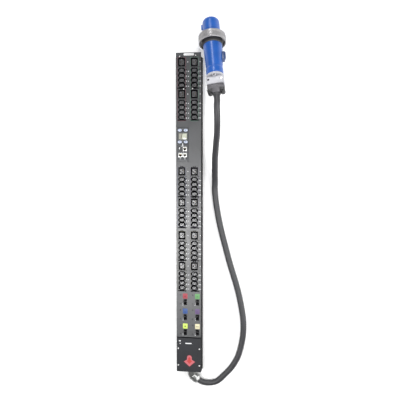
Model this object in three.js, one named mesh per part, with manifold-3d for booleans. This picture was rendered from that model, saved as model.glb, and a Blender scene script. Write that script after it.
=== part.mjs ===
// A 0U rack power strip: a long sheet-metal channel with two columns of outlets, a control module,
// six circuit breakers, a screwed end cover, and a heavy cord that ends in a pin-and-sleeve plug.
// It lies on its back. Millimetres: X across the strip, Y along it towards the mounting ear,
// Z out of the outlet face. The origin is under the middle of the strip, on its back face.
import * as THREE from "three";
import { mergeVertices } from "three/addons/utils/BufferGeometryUtils.js";
import Module from "manifold-3d";

const wasm = await Module();
wasm.setup();

// ---------------------------------------------------------------- driving dimensions

const GAP = 0.3; // between pieces that touch
const SHEET = 1.5; // thickness of every sheet-metal piece
const BITE = 0.5; // how far two joined shapes run into each other
const OVERRUN = 1; // how far a cutter runs past the face it opens

const STRIP = { length: 1372.6, width: 107, depth: 56 };
const HALF_WIDTH = STRIP.width / 2;
const HALF_LENGTH = STRIP.length / 2;
const EAR_LENGTH = 18.3;
const EAR_SLOT = { x: 1.5, width: 45, height: 10, fromTip: 7.8 };
const BODY_TOP = HALF_LENGTH - EAR_LENGTH; // where the channel ends under the ear

const FACE = STRIP.depth; // outer side of the front panel
const PANEL_BACK = FACE - SHEET;
const WALL_TOP = PANEL_BACK - GAP;
const THROUGH_PANEL = [PANEL_BACK - OVERRUN, FACE + OVERRUN];
const FLANGE = { outer: HALF_WIDTH - SHEET - GAP, depth: 10.5 };
const TAB = { length: 13, low: 3, high: 42 };
const KEYHOLES = [[0, 555], [0, -425]]; // middles of the round heads, in the back wall
const KEYHOLE = { headRadius: 6.5, slotWidth: 7, slotLength: 18 };

const PANEL_END = -531; // lower edge of the front panel
const COVER_START = -536; // upper edge of the end cover, past a sunk groove
const GROOVE = { drop: 4.5, reach: 14, halfWidth: 49.8 };

const COLUMN_X = [-29, 24.8];
const SECTION_Y = [647, 189, -85.5]; // first large outlet of each section
const BANK_PITCH = 133;
const LARGE_TO_SMALL = 34.3; // large outlet to the first small one
const SMALL_PITCH = 20.5;
const SMALL_COUNT = 4;
const BANK = { halfWidth: 19, above: 20, below: 13.5 }; // body past its first and last outlet

const OUTLET_PROUD = 0.6; // mouldings stand a little out of the panel
const OUTLET_CLEARANCE = 0.35;
const OUTLET_BACK = 24;
const RECESS_DEPTH = 15;
const SLOT_DEPTH = 12;
const LARGE = {
  boss: [29.5, 34.5, 0],
  recess: [26.4, 31.6, 0],
  core: [21.6, 26.8, 0],
  slot: [3, 8.4],
  slots: [[-5.2, 0], [4.8, 6.6], [4.8, -6.6]],
};
const SMALL = {
  boss: [31, SMALL_PITCH, 6.5],
  recess: [27.6, 18.2, 5],
  core: [23.8, 14.4, 4],
  slot: [2.6, 4.6],
  slots: [[0, 3.3], [-7, -2.6], [7, -2.6]],
};

const MODULE = { x: -24.3, y: 303, width: 48.6, height: 147, proud: 2.3, skirt: 1.2, skirtDepth: 4 };
const MODULE_CUTOUT = { width: 45, height: 143, clearance: 0.5 };
const BUTTON = { width: 18.2, height: 12.6, top: 60.3, capBottom: 54, stemRadius: 3, stemEnd: 37.6 };
const BUTTON_CLEARANCE = 0.4;
const BUTTON_X = [-36.8, -11.4];
const BUTTON_Y = [362.8, 313.4];
const DISPLAY = {
  x: -24.1, y: 337.3, width: 38.5, height: 28.3, sunk: 0.5,
  bodyWidth: 40, bodyHeight: 32, bodyLow: 45, bodyHigh: 55.5,
};
const JACK = { size: 17, top: 58.9, bottom: 36, mouth: [11.8, 8], raise: 1, tongue: [6, 2.6], depth: 15 };
const JACK_Y = 258;
const JACK_X = [-34.6, -15.2];
const SERIAL_JACK = { x: -15.2, y: 283.9 };
const USB = { x: -38.6, y: 286, width: 8, height: 17, mouth: [2.8, 9], depth: 9, top: 58.7 };
const BOARD_Z = 34;
const BOARD_THICKNESS = 1.6;
// Each chip is [x, y, width, height, rise] under its board.
const CONTROL_BOARD = {
  across: [-46, -3],
  along: [232, 374],
  chips: [[-24, 300, 16, 16, 3], [-34, 340, 12, 20, 5], [-14, 350, 8, 8, 2.5], [-30, 250, 20, 12, 4]],
};
const METERING_BOARD = {
  across: [8, 48],
  along: [236, 370],
  chips: [[20, 350, 16, 24, 9], [20, 320, 16, 24, 9], [36, 290, 14, 14, 3], [20, 262, 24, 16, 8]],
};

const BREAKER_ROWS = [-365, -431.2, -497.4];
const BREAKER_X = [-15.6, 37.8]; // the poles with a toggle
const BREAKER = { width: 39.4, height: 62, bottom: 8, poleOffset: 10.2 };
const TOGGLE_DROP = 12; // toggle centre below the breaker centre
const TOGGLE = {
  pivotZ: 48, hub: 5.8, hubClearance: 1.5, width: 8.4, leverWidth: 6.6, leverThickness: 5, top: 71, lean: 20,
};
const COLLAR = { width: 14, height: 25, proud: 1.2, mouthWidth: 9.8, mouthHeight: 17 };

const BUSBAR = { width: 4, low: 10, high: 21, top: 655, bottom: -333, offset: 9, tap: 14 };
const TERMINALS = { x: -12, y: -600, width: 74, height: 40, low: 3, high: 34, pitch: 14, count: 5 };
const WELL = { width: 9, height: 24, depth: 12 };
const GROUND_STUD = { x: 40, y: -560, radius: 3, length: 24, footRadius: 7, footHeight: 3 };
const GROUND_NUT = { radius: 6.5, height: 5, z: 12 };

const GLAND = { x: 10, z: 27, radius: 20, bore: 14, stub: 22.5, arm: 20.3, heading: -38, dip: 5 };
const GLAND_FLANGE = { radius: 24, thickness: 5 };
const GLAND_NUT = { length: 15, hexLength: 10.5, radius: 22, collarRadius: 17.5 };
const GLAND_SIDES = 18;

const CORD_RADIUS = 13;
const CORD_GAP = 0.35;
// The middle of the cord from the gland nut to the plug clamp.
const CORD_ROUTE = [
  [52, -739.3, 21], [70.2, -745, 16.8], [89.3, -745.8, 14], [107.9, -741.7, 13.3], [123.7, -733.6, 13.3],
  [154, -703.5, 13.3], [180.5, -674, 13.3], [199, -645, 13.3], [212.5, -616, 13.3], [226, -565, 13.3],
  [233.3, -511, 13.3], [232.5, -457, 13.3], [225, -405, 13.3], [214.5, -352, 13.3], [201, -300, 13.3],
  [184.8, -247.5, 13.3], [169, -195, 13.3], [155.3, -143, 13.3], [141.5, -91, 13.3], [129, -39, 13.3],
  [119, 13, 13.3], [111, 65, 13.3], [107.3, 115, 14.5], [109, 143, 22], [109.9, 169, 32],
  [112.5, 208, 54], [116.1, 247, 80], [122.2, 284, 109], [128.5, 321, 137], [133.6, 353, 160],
  [136.6, 384, 179], [137.5, 414, 190], [137.2, 437, 195], [136.7, 459, 194.5],
];
// Where the cord runs on along the plug's own axis, as distances from the nose.
const CORD_IN_PLUG = [380, 352, 300, 215, 130];
const CORD_STEPS = 64;
const CORD_SIDES = 10;

const PLUG = { x: 90, y: 820.8, z: 27.3, tilt: 25, yaw: 7.8 };
const SLEEVE = { radius: 35.5, wall: 4, length: 113, rounding: 18, lip: 7 };
const KEYWAY = { proud: 6.5, halfWidth: 4.5, start: 18, end: 42 };
const RING = { radius: 57, start: 79, length: 37.3, wall: 6.5, web: 8, bore: 41.2, recess: 13 };
const PLUG_BODY = { start: 97, front: 39.6, shoulder: 125, rear: 33.6, collar: 252, end: 270, wall: 4 };
const CARRIER = { radius: 31, front: 59, rear: 112, pinRadius: 4.2, pinCircle: 17, pinTip: 22 };
// The cap that closes the plug body: a round rim, then a square-ended block with two screws on top.
const CLAMP_CAP = {
  start: 270.4, rim: 36, rimEnd: 278.4, blockStart: 286, end: 316.2, halfWidth: 35.5, halfHeight: 25,
};
const CAP_POCKET = { inner: 7, above: 17 };
const CAP_SCREW = { x: 26, z: 299, radius: 4, depth: 4 };
const SADDLE = { start: 316.6, length: 18, width: 68, height: 20, throat: 17, lugStart: 331, lugEnd: 352 };
const SADDLE_LUG = { x: 25.5, radius: 10.5, drop: 3, boltHole: 3.4 };
const CLAMP_BOLT = { radius: 3, headRadius: 6, headHeight: 4.5 };
// The moulded lug on the plug body's side, as [across, along] corners.
const BODY_LUG = [[30, 164], [45, 164], [50, 169], [50, 192], [44, 207], [30, 211]];
const BODY_LUG_THICKNESS = 12;
const LATHE_SIDES = 36;
const BORE_SIDES = 30;
const CURVE_SEGMENTS = 8;

// ---------------------------------------------------------------- materials

const finish = (color, roughness, metalness) => ({ color, roughness, metalness });
const FINISHES = {
  blackPaint: finish(0x1d1e21, 0.5, 0.3),
  coverPaint: finish(0x17181a, 0.55, 0.3),
  blackPlastic: finish(0x141416, 0.55, 0),
  modulePlastic: finish(0x1c1d20, 0.45, 0),
  display: finish(0xb9bba8, 0.2, 0),
  buttonGrey: finish(0xa9b3cc, 0.35, 0.2),
  jackShell: finish(0xc8c9c6, 0.35, 0.8),
  circuitBoard: finish(0x1f5a33, 0.6, 0),
  breakerPlastic: finish(0x1a1a1c, 0.5, 0),
  copper: finish(0xb0653a, 0.35, 1),
  zinc: finish(0xa9abae, 0.4, 0.9),
  rubber: finish(0x1b1b1d, 0.75, 0),
  bluePlastic: finish(0x1f5dbb, 0.35, 0),
  greyPlastic: finish(0x9ea0a4, 0.4, 0.1),
  clampMetal: finish(0x8f9196, 0.4, 0.7),
  brass: finish(0xc9a24a, 0.3, 1),
};

// ---------------------------------------------------------------- solids

// A closed three.js geometry as a solid that faces out.
function solid(geometry) {
  const bare = geometry.clone();
  bare.deleteAttribute("normal");
  bare.deleteAttribute("uv");
  const merged = mergeVertices(bare, 1e-4);
  const corners = merged.index.array;
  const kept = [];
  for (let i = 0; i < corners.length; i += 3) {
    const [a, b, c] = corners.slice(i, i + 3);
    if (a !== b && b !== c && c !== a) kept.push(a, b, c);
  }
  const vertProperties = merged.attributes.position.array;
  const make = (triangles) =>
    new wasm.Manifold(new wasm.Mesh({ numProp: 3, vertProperties, triVerts: new Uint32Array(triangles) }));
  const made = make(kept);
  return made.volume() > 0 ? made : make(kept.reverse());
}

// A solid back as a three.js geometry.
function geometryOf(shape) {
  const mesh = shape.getMesh();
  const corners = new Float32Array(mesh.numVert * 3);
  for (let i = 0; i < mesh.numVert; i++) {
    corners.set(mesh.vertProperties.subarray(i * mesh.numProp, i * mesh.numProp + 3), i * 3);
  }
  const geometry = new THREE.BufferGeometry();
  geometry.setAttribute("position", new THREE.BufferAttribute(corners, 3));
  geometry.setIndex(new THREE.BufferAttribute(new Uint32Array(mesh.triVerts), 1));
  const flat = geometry.toNonIndexed();
  flat.computeVertexNormals();
  return flat;
}

const join = (...shapes) => shapes.flat().reduce((whole, piece) => whole.add(piece));
const cut = (shape, ...cutters) => shape.subtract(join(...cutters));

function box([x0, x1], [y0, y1], [z0, z1]) {
  const geometry = new THREE.BoxGeometry(x1 - x0, y1 - y0, z1 - z0);
  return solid(geometry.translate((x0 + x1) / 2, (y0 + y1) / 2, (z0 + z1) / 2));
}

// A box by the middle and size of its outline.
function block(x, y, width, height, z0, z1) {
  return box([x - width / 2, x + width / 2], [y - height / 2, y + height / 2], [z0, z1]);
}

function prism(shape, z0, z1) {
  const options = { depth: z1 - z0, bevelEnabled: false, curveSegments: CURVE_SEGMENTS };
  const geometry = new THREE.ExtrudeGeometry(shape, options);
  return solid(geometry.translate(0, 0, z0));
}

const UP = new THREE.Vector3(0, 0, 1);
const ALONG = new THREE.Vector3(0, 1, 0);

// A cylinder from one point towards a direction.
function rod(start, direction, length, radius, sides = 24) {
  const along = direction.clone().normalize();
  const geometry = new THREE.CylinderGeometry(radius, radius, length, sides);
  geometry.applyQuaternion(new THREE.Quaternion().setFromUnitVectors(ALONG, along));
  const middle = start.clone().addScaledVector(along, length / 2);
  return solid(geometry.translate(middle.x, middle.y, middle.z));
}

// A turned solid about Z from [radius, z] points that close on themselves or end on the axis.
function turned(profile, sides = LATHE_SIDES) {
  const points = profile.map(([radius, z]) => new THREE.Vector2(radius, z));
  return solid(new THREE.LatheGeometry(points, sides).rotateX(Math.PI / 2));
}

const closedProfile = (profile) => [...profile, profile[0]];

function stadium(x, y, width, height) {
  const radius = height / 2;
  const reach = width / 2 - radius;
  const shape = new THREE.Shape();
  shape.absarc(x + reach, y, radius, -Math.PI / 2, Math.PI / 2);
  shape.absarc(x - reach, y, radius, Math.PI / 2, (3 * Math.PI) / 2);
  return shape;
}

function ellipse(x, y, width, height) {
  const shape = new THREE.Shape();
  shape.absellipse(x, y, width / 2, height / 2, 0, 2 * Math.PI);
  return shape;
}

// An outlet outline: a rectangle, with its two upper corners cut off where a chamfer is given.
function outletOutline(x, y, [width, height, chamfer], grow = 0) {
  const w = width / 2 + grow;
  const h = height / 2 + grow;
  const upper = chamfer > 0
    ? [[w, h - chamfer], [w - chamfer, h], [-w + chamfer, h], [-w, h - chamfer]]
    : [[w, h], [-w, h]];
  const corners = [[-w, -h], [w, -h], ...upper];
  return new THREE.Shape(corners.map(([a, b]) => new THREE.Vector2(x + a, y + b)));
}

// ---------------------------------------------------------------- the assembly

const strip = new THREE.Group();
strip.name = "rack_power_strip";

function addTo(group, name, shape, finishName) {
  const material = new THREE.MeshStandardMaterial({ ...FINISHES[finishName], name: finishName });
  const mesh = new THREE.Mesh(geometryOf(shape), material);
  mesh.name = name;
  group.add(mesh);
}

const add = (name, shape, finishName) => addTo(strip, name, shape, finishName);

// One bank is a large outlet with four small ones below it; a section has two banks in a column.
const banks = SECTION_Y.flatMap((sectionY) =>
  [0, 1].flatMap((row) => COLUMN_X.map((x) => ({ x, y: sectionY - row * BANK_PITCH }))));
const smallCentres = (bank) =>
  Array.from({ length: SMALL_COUNT }, (_, i) => bank.y - LARGE_TO_SMALL - i * SMALL_PITCH);
const breakers = BREAKER_ROWS.flatMap((y) => BREAKER_X.map((x) => ({ x, y })));

// ---------------------------------------------------------------- casing

function keyhole([x, y]) {
  const { headRadius, slotWidth, slotLength } = KEYHOLE;
  const high = SHEET + OVERRUN;
  const head = rod(new THREE.Vector3(x, y, -OVERRUN), UP, high + OVERRUN, headRadius);
  return join(head, block(x, y + slotLength / 2, slotWidth, slotLength, -OVERRUN, high));
}

function rearChannel() {
  const along = [-HALF_LENGTH + SHEET + GAP, BODY_TOP - GAP];
  const back = box([-HALF_WIDTH, HALF_WIDTH], along, [0, SHEET]);
  const walls = [-1, 1].map((side) => {
    const outer = side * HALF_WIDTH;
    const inner = side * (HALF_WIDTH - SHEET);
    return box([Math.min(outer, inner), Math.max(outer, inner)], along, [0, WALL_TOP]);
  });
  return cut(join(back, walls), KEYHOLES.map(keyhole));
}

// Lips folded down inside the channel, along both long edges of a front piece.
function foldedLips(y0, y1) {
  return [-1, 1].map((side) => {
    const outer = side * FLANGE.outer;
    const inner = side * (FLANGE.outer - SHEET);
    const across = [Math.min(outer, inner), Math.max(outer, inner)];
    return box(across, [y0, y1], [PANEL_BACK - FLANGE.depth, PANEL_BACK + BITE]);
  });
}

function outletCutouts(bank) {
  const large = prism(outletOutline(bank.x, bank.y, LARGE.boss, OUTLET_CLEARANCE), ...THROUGH_PANEL);
  const small = smallCentres(bank).map((y) =>
    prism(outletOutline(bank.x, y, SMALL.boss, OUTLET_CLEARANCE), ...THROUGH_PANEL));
  return [large, ...small];
}

function breakerCutout(breaker) {
  const grow = 2 * OUTLET_CLEARANCE;
  const toggleY = breaker.y - TOGGLE_DROP;
  return block(breaker.x, toggleY, COLLAR.width + grow, COLLAR.height + grow, ...THROUGH_PANEL);
}

function frontPanel() {
  const plate = box([-HALF_WIDTH, HALF_WIDTH], [PANEL_END, BODY_TOP - GAP], [PANEL_BACK, FACE]);
  const lips = foldedLips(PANEL_END, BODY_TOP - TAB.length);
  const lowered = [-GROOVE.halfWidth, GROOVE.halfWidth];
  const step = box(lowered, [PANEL_END, PANEL_END + SHEET], [FACE - GROOVE.drop - SHEET, FACE - BITE]);
  const shelf = box(lowered, [PANEL_END - GROOVE.reach, PANEL_END + SHEET],
    [FACE - GROOVE.drop - SHEET, FACE - GROOVE.drop]);
  const moduleHole = block(MODULE.x, MODULE.y, MODULE_CUTOUT.width, MODULE_CUTOUT.height, ...THROUGH_PANEL);
  const cutters = [moduleHole, ...banks.flatMap(outletCutouts), ...breakers.map(breakerCutout)];
  return cut(join(plate, lips, step, shelf), cutters);
}

function sideTabs(y0, y1) {
  return [-1, 1].map((side) => {
    const outer = side * FLANGE.outer;
    const inner = side * (FLANGE.outer - SHEET);
    return box([Math.min(outer, inner), Math.max(outer, inner)], [y0, y1], [TAB.low, TAB.high]);
  });
}

function topEndBracket() {
  const wall = box([-HALF_WIDTH, HALF_WIDTH], [BODY_TOP, BODY_TOP + SHEET], [0, FACE]);
  const ear = box([-HALF_WIDTH, HALF_WIDTH], [BODY_TOP, HALF_LENGTH], [PANEL_BACK, FACE]);
  const tabs = sideTabs(BODY_TOP - TAB.length, BODY_TOP + SHEET / 2);
  const slotY = HALF_LENGTH - EAR_SLOT.fromTip;
  const slot = prism(stadium(EAR_SLOT.x, slotY, EAR_SLOT.width, EAR_SLOT.height), ...THROUGH_PANEL);
  return cut(join(wall, ear, tabs), slot);
}

function bottomEndPlate() {
  const inside = -HALF_LENGTH + SHEET;
  const plate = box([-HALF_WIDTH, HALF_WIDTH], [-HALF_LENGTH, inside], [0, WALL_TOP]);
  const tabs = sideTabs(inside - SHEET / 2, inside + TAB.length);
  const holeStart = new THREE.Vector3(GLAND.x, -HALF_LENGTH - OVERRUN, GLAND.z);
  const hole = rod(holeStart, ALONG, SHEET + 2 * OVERRUN, GLAND.bore);
  return cut(join(plate, tabs), hole);
}

function endCover() {
  const plate = box([-HALF_WIDTH, HALF_WIDTH], [-HALF_LENGTH, COVER_START], [PANEL_BACK, FACE]);
  const lips = foldedLips(-HALF_LENGTH + SHEET + GAP, PANEL_END - GROOVE.reach - SHEET);
  const rim = box([-GROOVE.halfWidth, GROOVE.halfWidth], [COVER_START - SHEET, COVER_START],
    [FACE - GROOVE.drop + GAP, FACE - BITE]);
  return join(plate, lips, rim);
}

add("rear_channel", rearChannel(), "blackPaint");
add("front_panel", frontPanel(), "blackPaint");
add("top_end_bracket", topEndBracket(), "blackPaint");
add("bottom_end_plate", bottomEndPlate(), "blackPaint");
add("end_cover", endCover(), "coverPaint");

// ---------------------------------------------------------------- outlets

// The boss of one outlet, with a ring-shaped recess round a core that holds three contact slots.
function outlet(x, y, kind) {
  const top = FACE + OUTLET_PROUD;
  const floor = top - RECESS_DEPTH;
  const boss = prism(outletOutline(x, y, kind.boss), WALL_TOP - BITE, top);
  const recess = prism(outletOutline(x, y, kind.recess), floor, top + OVERRUN);
  const core = prism(outletOutline(x, y, kind.core), floor - OVERRUN, top + 2 * OVERRUN);
  const [slotWidth, slotHeight] = kind.slot;
  const slots = kind.slots.map(([dx, dy]) =>
    block(x + dx, y + dy, slotWidth, slotHeight, top - SLOT_DEPTH, top + OVERRUN));
  return { boss, cutters: [cut(recess, core), ...slots] };
}

function outletBank(bank) {
  const along = [smallCentres(bank)[SMALL_COUNT - 1] - BANK.below, bank.y + BANK.above];
  const body = box([bank.x - BANK.halfWidth, bank.x + BANK.halfWidth], along, [OUTLET_BACK, WALL_TOP]);
  const outlets = [
    outlet(bank.x, bank.y, LARGE),
    ...smallCentres(bank).map((y) => outlet(bank.x, y, SMALL)),
  ];
  return cut(join(body, outlets.map((one) => one.boss)), outlets.flatMap((one) => one.cutters));
}

banks.forEach((bank, i) => add(`outlet_bank_${i + 1}`, outletBank(bank), "blackPlastic"));

// ---------------------------------------------------------------- control module

const moduleTop = FACE + MODULE.proud;
const bezelBack = FACE + GAP;

function controlFaceplate() {
  const bezel = block(MODULE.x, MODULE.y, MODULE.width, MODULE.height, bezelBack, moduleTop);
  const outerWidth = MODULE_CUTOUT.width - 2 * MODULE_CUTOUT.clearance;
  const outerHeight = MODULE_CUTOUT.height - 2 * MODULE_CUTOUT.clearance;
  const skirtMiddle = (outerHeight - MODULE.skirt) / 2;
  const skirts = [-1, 1].map((end) =>
    block(MODULE.x, MODULE.y + end * skirtMiddle, outerWidth, MODULE.skirt, FACE - MODULE.skirtDepth,
      bezelBack + BITE));
  const low = bezelBack - OVERRUN;
  const high = moduleTop + OVERRUN;
  const window = block(DISPLAY.x, DISPLAY.y, DISPLAY.width, DISPLAY.height, low, high);
  const buttonHole = [BUTTON.width + 2 * BUTTON_CLEARANCE, BUTTON.height + 2 * BUTTON_CLEARANCE];
  const buttonHoles = BUTTON_Y.flatMap((y) =>
    BUTTON_X.map((x) => prism(ellipse(x, y, ...buttonHole), low, high)));
  const jackHoleSize = JACK.size + 2 * GAP;
  const jackMiddle = (JACK_X[0] + JACK_X[1]) / 2;
  const jackHole = block(jackMiddle, JACK_Y, JACK_X[1] - JACK_X[0] + jackHoleSize, jackHoleSize, low, high);
  const serialHole = block(SERIAL_JACK.x, SERIAL_JACK.y, jackHoleSize, jackHoleSize, low, high);
  const usbHole = block(USB.x, USB.y, USB.width + 2 * GAP, USB.height + 2 * GAP, low, high);
  return cut(join(bezel, skirts), window, buttonHoles, jackHole, serialHole, usbHole);
}

function displayModule() {
  const lensGap = 2 * GAP;
  const lens = block(DISPLAY.x, DISPLAY.y, DISPLAY.width - lensGap, DISPLAY.height - lensGap,
    DISPLAY.bodyHigh - BITE, moduleTop - DISPLAY.sunk);
  const body = block(DISPLAY.x, DISPLAY.y, DISPLAY.bodyWidth, DISPLAY.bodyHeight,
    DISPLAY.bodyLow, DISPLAY.bodyHigh);
  return join(lens, body);
}

function menuButton(x, y) {
  const cap = prism(ellipse(x, y, BUTTON.width, BUTTON.height), BUTTON.capBottom, BUTTON.top);
  const stem = rod(new THREE.Vector3(x, y, BUTTON.stemEnd), UP,
    BUTTON.capBottom + BITE - BUTTON.stemEnd, BUTTON.stemRadius, 12);
  return join(cap, stem);
}

// The mouth of one modular jack, with the notch for the plug's latch on its lower side.
function jackMouth(x, y) {
  const floor = JACK.top - JACK.depth;
  const [width, height] = JACK.mouth;
  const [tongueWidth, tongueHeight] = JACK.tongue;
  const mouthY = y + JACK.raise;
  const tongueY = mouthY - height / 2 - tongueHeight / 2 + BITE;
  return join(
    block(x, mouthY, width, height, floor, JACK.top + OVERRUN),
    block(x, tongueY, tongueWidth, tongueHeight, floor, JACK.top + OVERRUN));
}

function networkJackPair() {
  const middle = (JACK_X[0] + JACK_X[1]) / 2;
  const shell = block(middle, JACK_Y, JACK_X[1] - JACK_X[0] + JACK.size, JACK.size, JACK.bottom, JACK.top);
  return cut(shell, JACK_X.map((x) => jackMouth(x, JACK_Y)));
}

function serialJack() {
  const shell = block(SERIAL_JACK.x, SERIAL_JACK.y, JACK.size, JACK.size, JACK.bottom, JACK.top);
  return cut(shell, jackMouth(SERIAL_JACK.x, SERIAL_JACK.y));
}

function usbPort() {
  const shell = block(USB.x, USB.y, USB.width, USB.height, JACK.bottom, USB.top);
  return cut(shell, block(USB.x, USB.y, ...USB.mouth, USB.top - USB.depth, USB.top + OVERRUN));
}

function circuitBoard({ across, along, chips }) {
  const board = box(across, along, [BOARD_Z, BOARD_Z + BOARD_THICKNESS]);
  const parts = chips.map(([x, y, width, height, rise]) =>
    block(x, y, width, height, BOARD_Z - rise, BOARD_Z + BITE));
  return join(board, parts);
}

add("control_faceplate", controlFaceplate(), "modulePlastic");
add("display_module", displayModule(), "display");
BUTTON_Y.forEach((y, row) => BUTTON_X.forEach((x, column) =>
  add(`menu_button_${row * 2 + column + 1}`, menuButton(x, y), "buttonGrey")));
add("network_jack_pair", networkJackPair(), "jackShell");
add("serial_jack", serialJack(), "jackShell");
add("usb_port", usbPort(), "zinc");
add("control_board", circuitBoard(CONTROL_BOARD), "circuitBoard");
add("metering_board", circuitBoard(METERING_BOARD), "circuitBoard");

// ---------------------------------------------------------------- breakers

function breakerBody(breaker) {
  const middle = breaker.x - BREAKER.poleOffset;
  const toggleY = breaker.y - TOGGLE_DROP;
  const collarTop = FACE + COLLAR.proud;
  const body = block(middle, breaker.y, BREAKER.width, BREAKER.height, BREAKER.bottom, WALL_TOP);
  const collar = block(breaker.x, toggleY, COLLAR.width, COLLAR.height, WALL_TOP - BITE, collarTop);
  const mouth = block(breaker.x, toggleY, COLLAR.mouthWidth, COLLAR.mouthHeight,
    TOGGLE.pivotZ - TOGGLE.hub - TOGGLE.hubClearance, collarTop + OVERRUN);
  return cut(join(body, collar), mouth);
}

function breakerToggle(breaker) {
  const toggleY = breaker.y - TOGGLE_DROP;
  const hub = rod(new THREE.Vector3(breaker.x - TOGGLE.width / 2, toggleY, TOGGLE.pivotZ),
    new THREE.Vector3(1, 0, 0), TOGGLE.width, TOGGLE.hub);
  const length = TOGGLE.top - TOGGLE.pivotZ;
  const lever = new THREE.BoxGeometry(TOGGLE.leverWidth, TOGGLE.leverThickness, length);
  lever.translate(0, 0, length / 2);
  lever.rotateX(-THREE.MathUtils.degToRad(TOGGLE.lean));
  lever.translate(breaker.x, toggleY, TOGGLE.pivotZ);
  return join(hub, solid(lever));
}

breakers.forEach((breaker, i) => {
  add(`breaker_body_${i + 1}`, breakerBody(breaker), "breakerPlastic");
  add(`breaker_toggle_${i + 1}`, breakerToggle(breaker), "breakerPlastic");
});

// ---------------------------------------------------------------- inside the channel

function busbar(x) {
  const half = BUSBAR.width / 2;
  const bar = box([x - half, x + half], [BUSBAR.bottom, BUSBAR.top], [BUSBAR.low, BUSBAR.high]);
  const taps = banks.filter((bank) => bank.x === COLUMN_X[0]).map((bank) =>
    block(x, bank.y - LARGE_TO_SMALL, BUSBAR.width, BUSBAR.tap, BUSBAR.low, OUTLET_BACK - GAP));
  return join(bar, taps);
}

COLUMN_X.forEach((x, i) => {
  const side = ["left", "right"][i];
  add(`busbar_${side}_line`, busbar(x - BUSBAR.offset), "copper");
  add(`busbar_${side}_return`, busbar(x + BUSBAR.offset), "copper");
});

function terminalBlock() {
  const { x, y, width, height, low, high, pitch, count } = TERMINALS;
  const wells = Array.from({ length: count }, (_, i) => {
    const wellX = x + (i - (count - 1) / 2) * pitch;
    return block(wellX, y, WELL.width, WELL.height, high - WELL.depth, high + OVERRUN);
  });
  return cut(block(x, y, width, height, low, high), wells);
}

function groundStud() {
  const { x, y, radius, length, footRadius, footHeight } = GROUND_STUD;
  const base = new THREE.Vector3(x, y, SHEET + GAP);
  const shank = rod(base, UP, length, radius, 16);
  const nut = rod(new THREE.Vector3(x, y, GROUND_NUT.z), UP, GROUND_NUT.height, GROUND_NUT.radius, 6);
  const foot = rod(base, UP, footHeight, footRadius, 16);
  return join(shank, nut, foot);
}

add("terminal_block", terminalBlock(), "modulePlastic");
add("ground_stud", groundStud(), "brass");

// ---------------------------------------------------------------- cord gland

const glandCentre = new THREE.Vector3(GLAND.x, -HALF_LENGTH - GLAND.stub, GLAND.z);
const headingAngle = THREE.MathUtils.degToRad(GLAND.heading);
const dipAngle = THREE.MathUtils.degToRad(GLAND.dip);
const glandHeading = new THREE.Vector3(Math.cos(dipAngle), 0, -Math.sin(dipAngle))
  .applyAxisAngle(UP, headingAngle);
const alongGland = (distance) => glandCentre.clone().addScaledVector(glandHeading, distance);

function glandBody() {
  const start = -HALF_LENGTH - GAP;
  const stub = rod(glandCentre, ALONG, start - glandCentre.y, GLAND.radius, GLAND_SIDES);
  const flangeStart = new THREE.Vector3(GLAND.x, start - GLAND_FLANGE.thickness, GLAND.z);
  const flange = rod(flangeStart, ALONG, GLAND_FLANGE.thickness, GLAND_FLANGE.radius, 6);
  const elbow = solid(new THREE.SphereGeometry(GLAND.radius, GLAND_SIDES, 10)
    .translate(glandCentre.x, glandCentre.y, glandCentre.z));
  const arm = rod(glandCentre, glandHeading, GLAND.arm, GLAND.radius, GLAND_SIDES);
  const boreIn = rod(glandCentre, ALONG, GLAND.stub + OVERRUN, GLAND.bore, GLAND_SIDES);
  const boreOut = rod(glandCentre, glandHeading, GLAND.arm + OVERRUN, GLAND.bore, GLAND_SIDES);
  const boreElbow = solid(new THREE.SphereGeometry(GLAND.bore + GAP, GLAND_SIDES, 8)
    .translate(glandCentre.x, glandCentre.y, glandCentre.z));
  return cut(join(stub, flange, elbow, arm), boreIn, boreOut, boreElbow);
}

function glandNut() {
  const { length, hexLength, radius, collarRadius } = GLAND_NUT;
  const start = GLAND.arm + GAP;
  const hex = rod(alongGland(start), glandHeading, hexLength, radius, 8);
  const collarStart = hexLength - BITE;
  const collar = rod(alongGland(start + collarStart), glandHeading, length - collarStart,
    collarRadius, GLAND_SIDES);
  const bore = rod(alongGland(start - OVERRUN), glandHeading, length + 2 * OVERRUN,
    CORD_RADIUS + CORD_GAP, GLAND_SIDES);
  return cut(join(hex, collar), bore);
}

add("gland_body", glandBody(), "zinc");
add("gland_nut", glandNut(), "zinc");

// ---------------------------------------------------------------- plug

// The plug is built along its own Z from the nose to the cord end, and then laid nose down.
const plug = new THREE.Group();
const tilt = THREE.MathUtils.degToRad(PLUG.tilt);
const yaw = THREE.MathUtils.degToRad(PLUG.yaw);
const plugAxis = new THREE.Vector3(0, -Math.cos(tilt), Math.sin(tilt)).applyAxisAngle(UP, yaw);
const plugRight = new THREE.Vector3(Math.cos(yaw), Math.sin(yaw), 0);
const plugUp = plugAxis.clone().cross(plugRight);
plug.quaternion.setFromRotationMatrix(new THREE.Matrix4().makeBasis(plugRight, plugUp, plugAxis));
plug.position.set(PLUG.x, PLUG.y, PLUG.z);
strip.add(plug);
const alongPlug = (distance) => plug.position.clone().addScaledVector(plugAxis, distance);

const localRod = (x, y, z, length, radius, sides) =>
  rod(new THREE.Vector3(x, y, z), UP, length, radius, sides);

// A quarter of an ellipse from the mouth of the sleeve out to its full radius.
function roundedNose(mouthRadius) {
  const steps = 4;
  const rise = SLEEVE.radius - mouthRadius;
  return Array.from({ length: steps + 1 }, (_, i) => {
    const angle = (i / steps) * (Math.PI / 2);
    return [mouthRadius + rise * Math.sin(angle), SLEEVE.rounding * (1 - Math.cos(angle))];
  });
}

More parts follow.
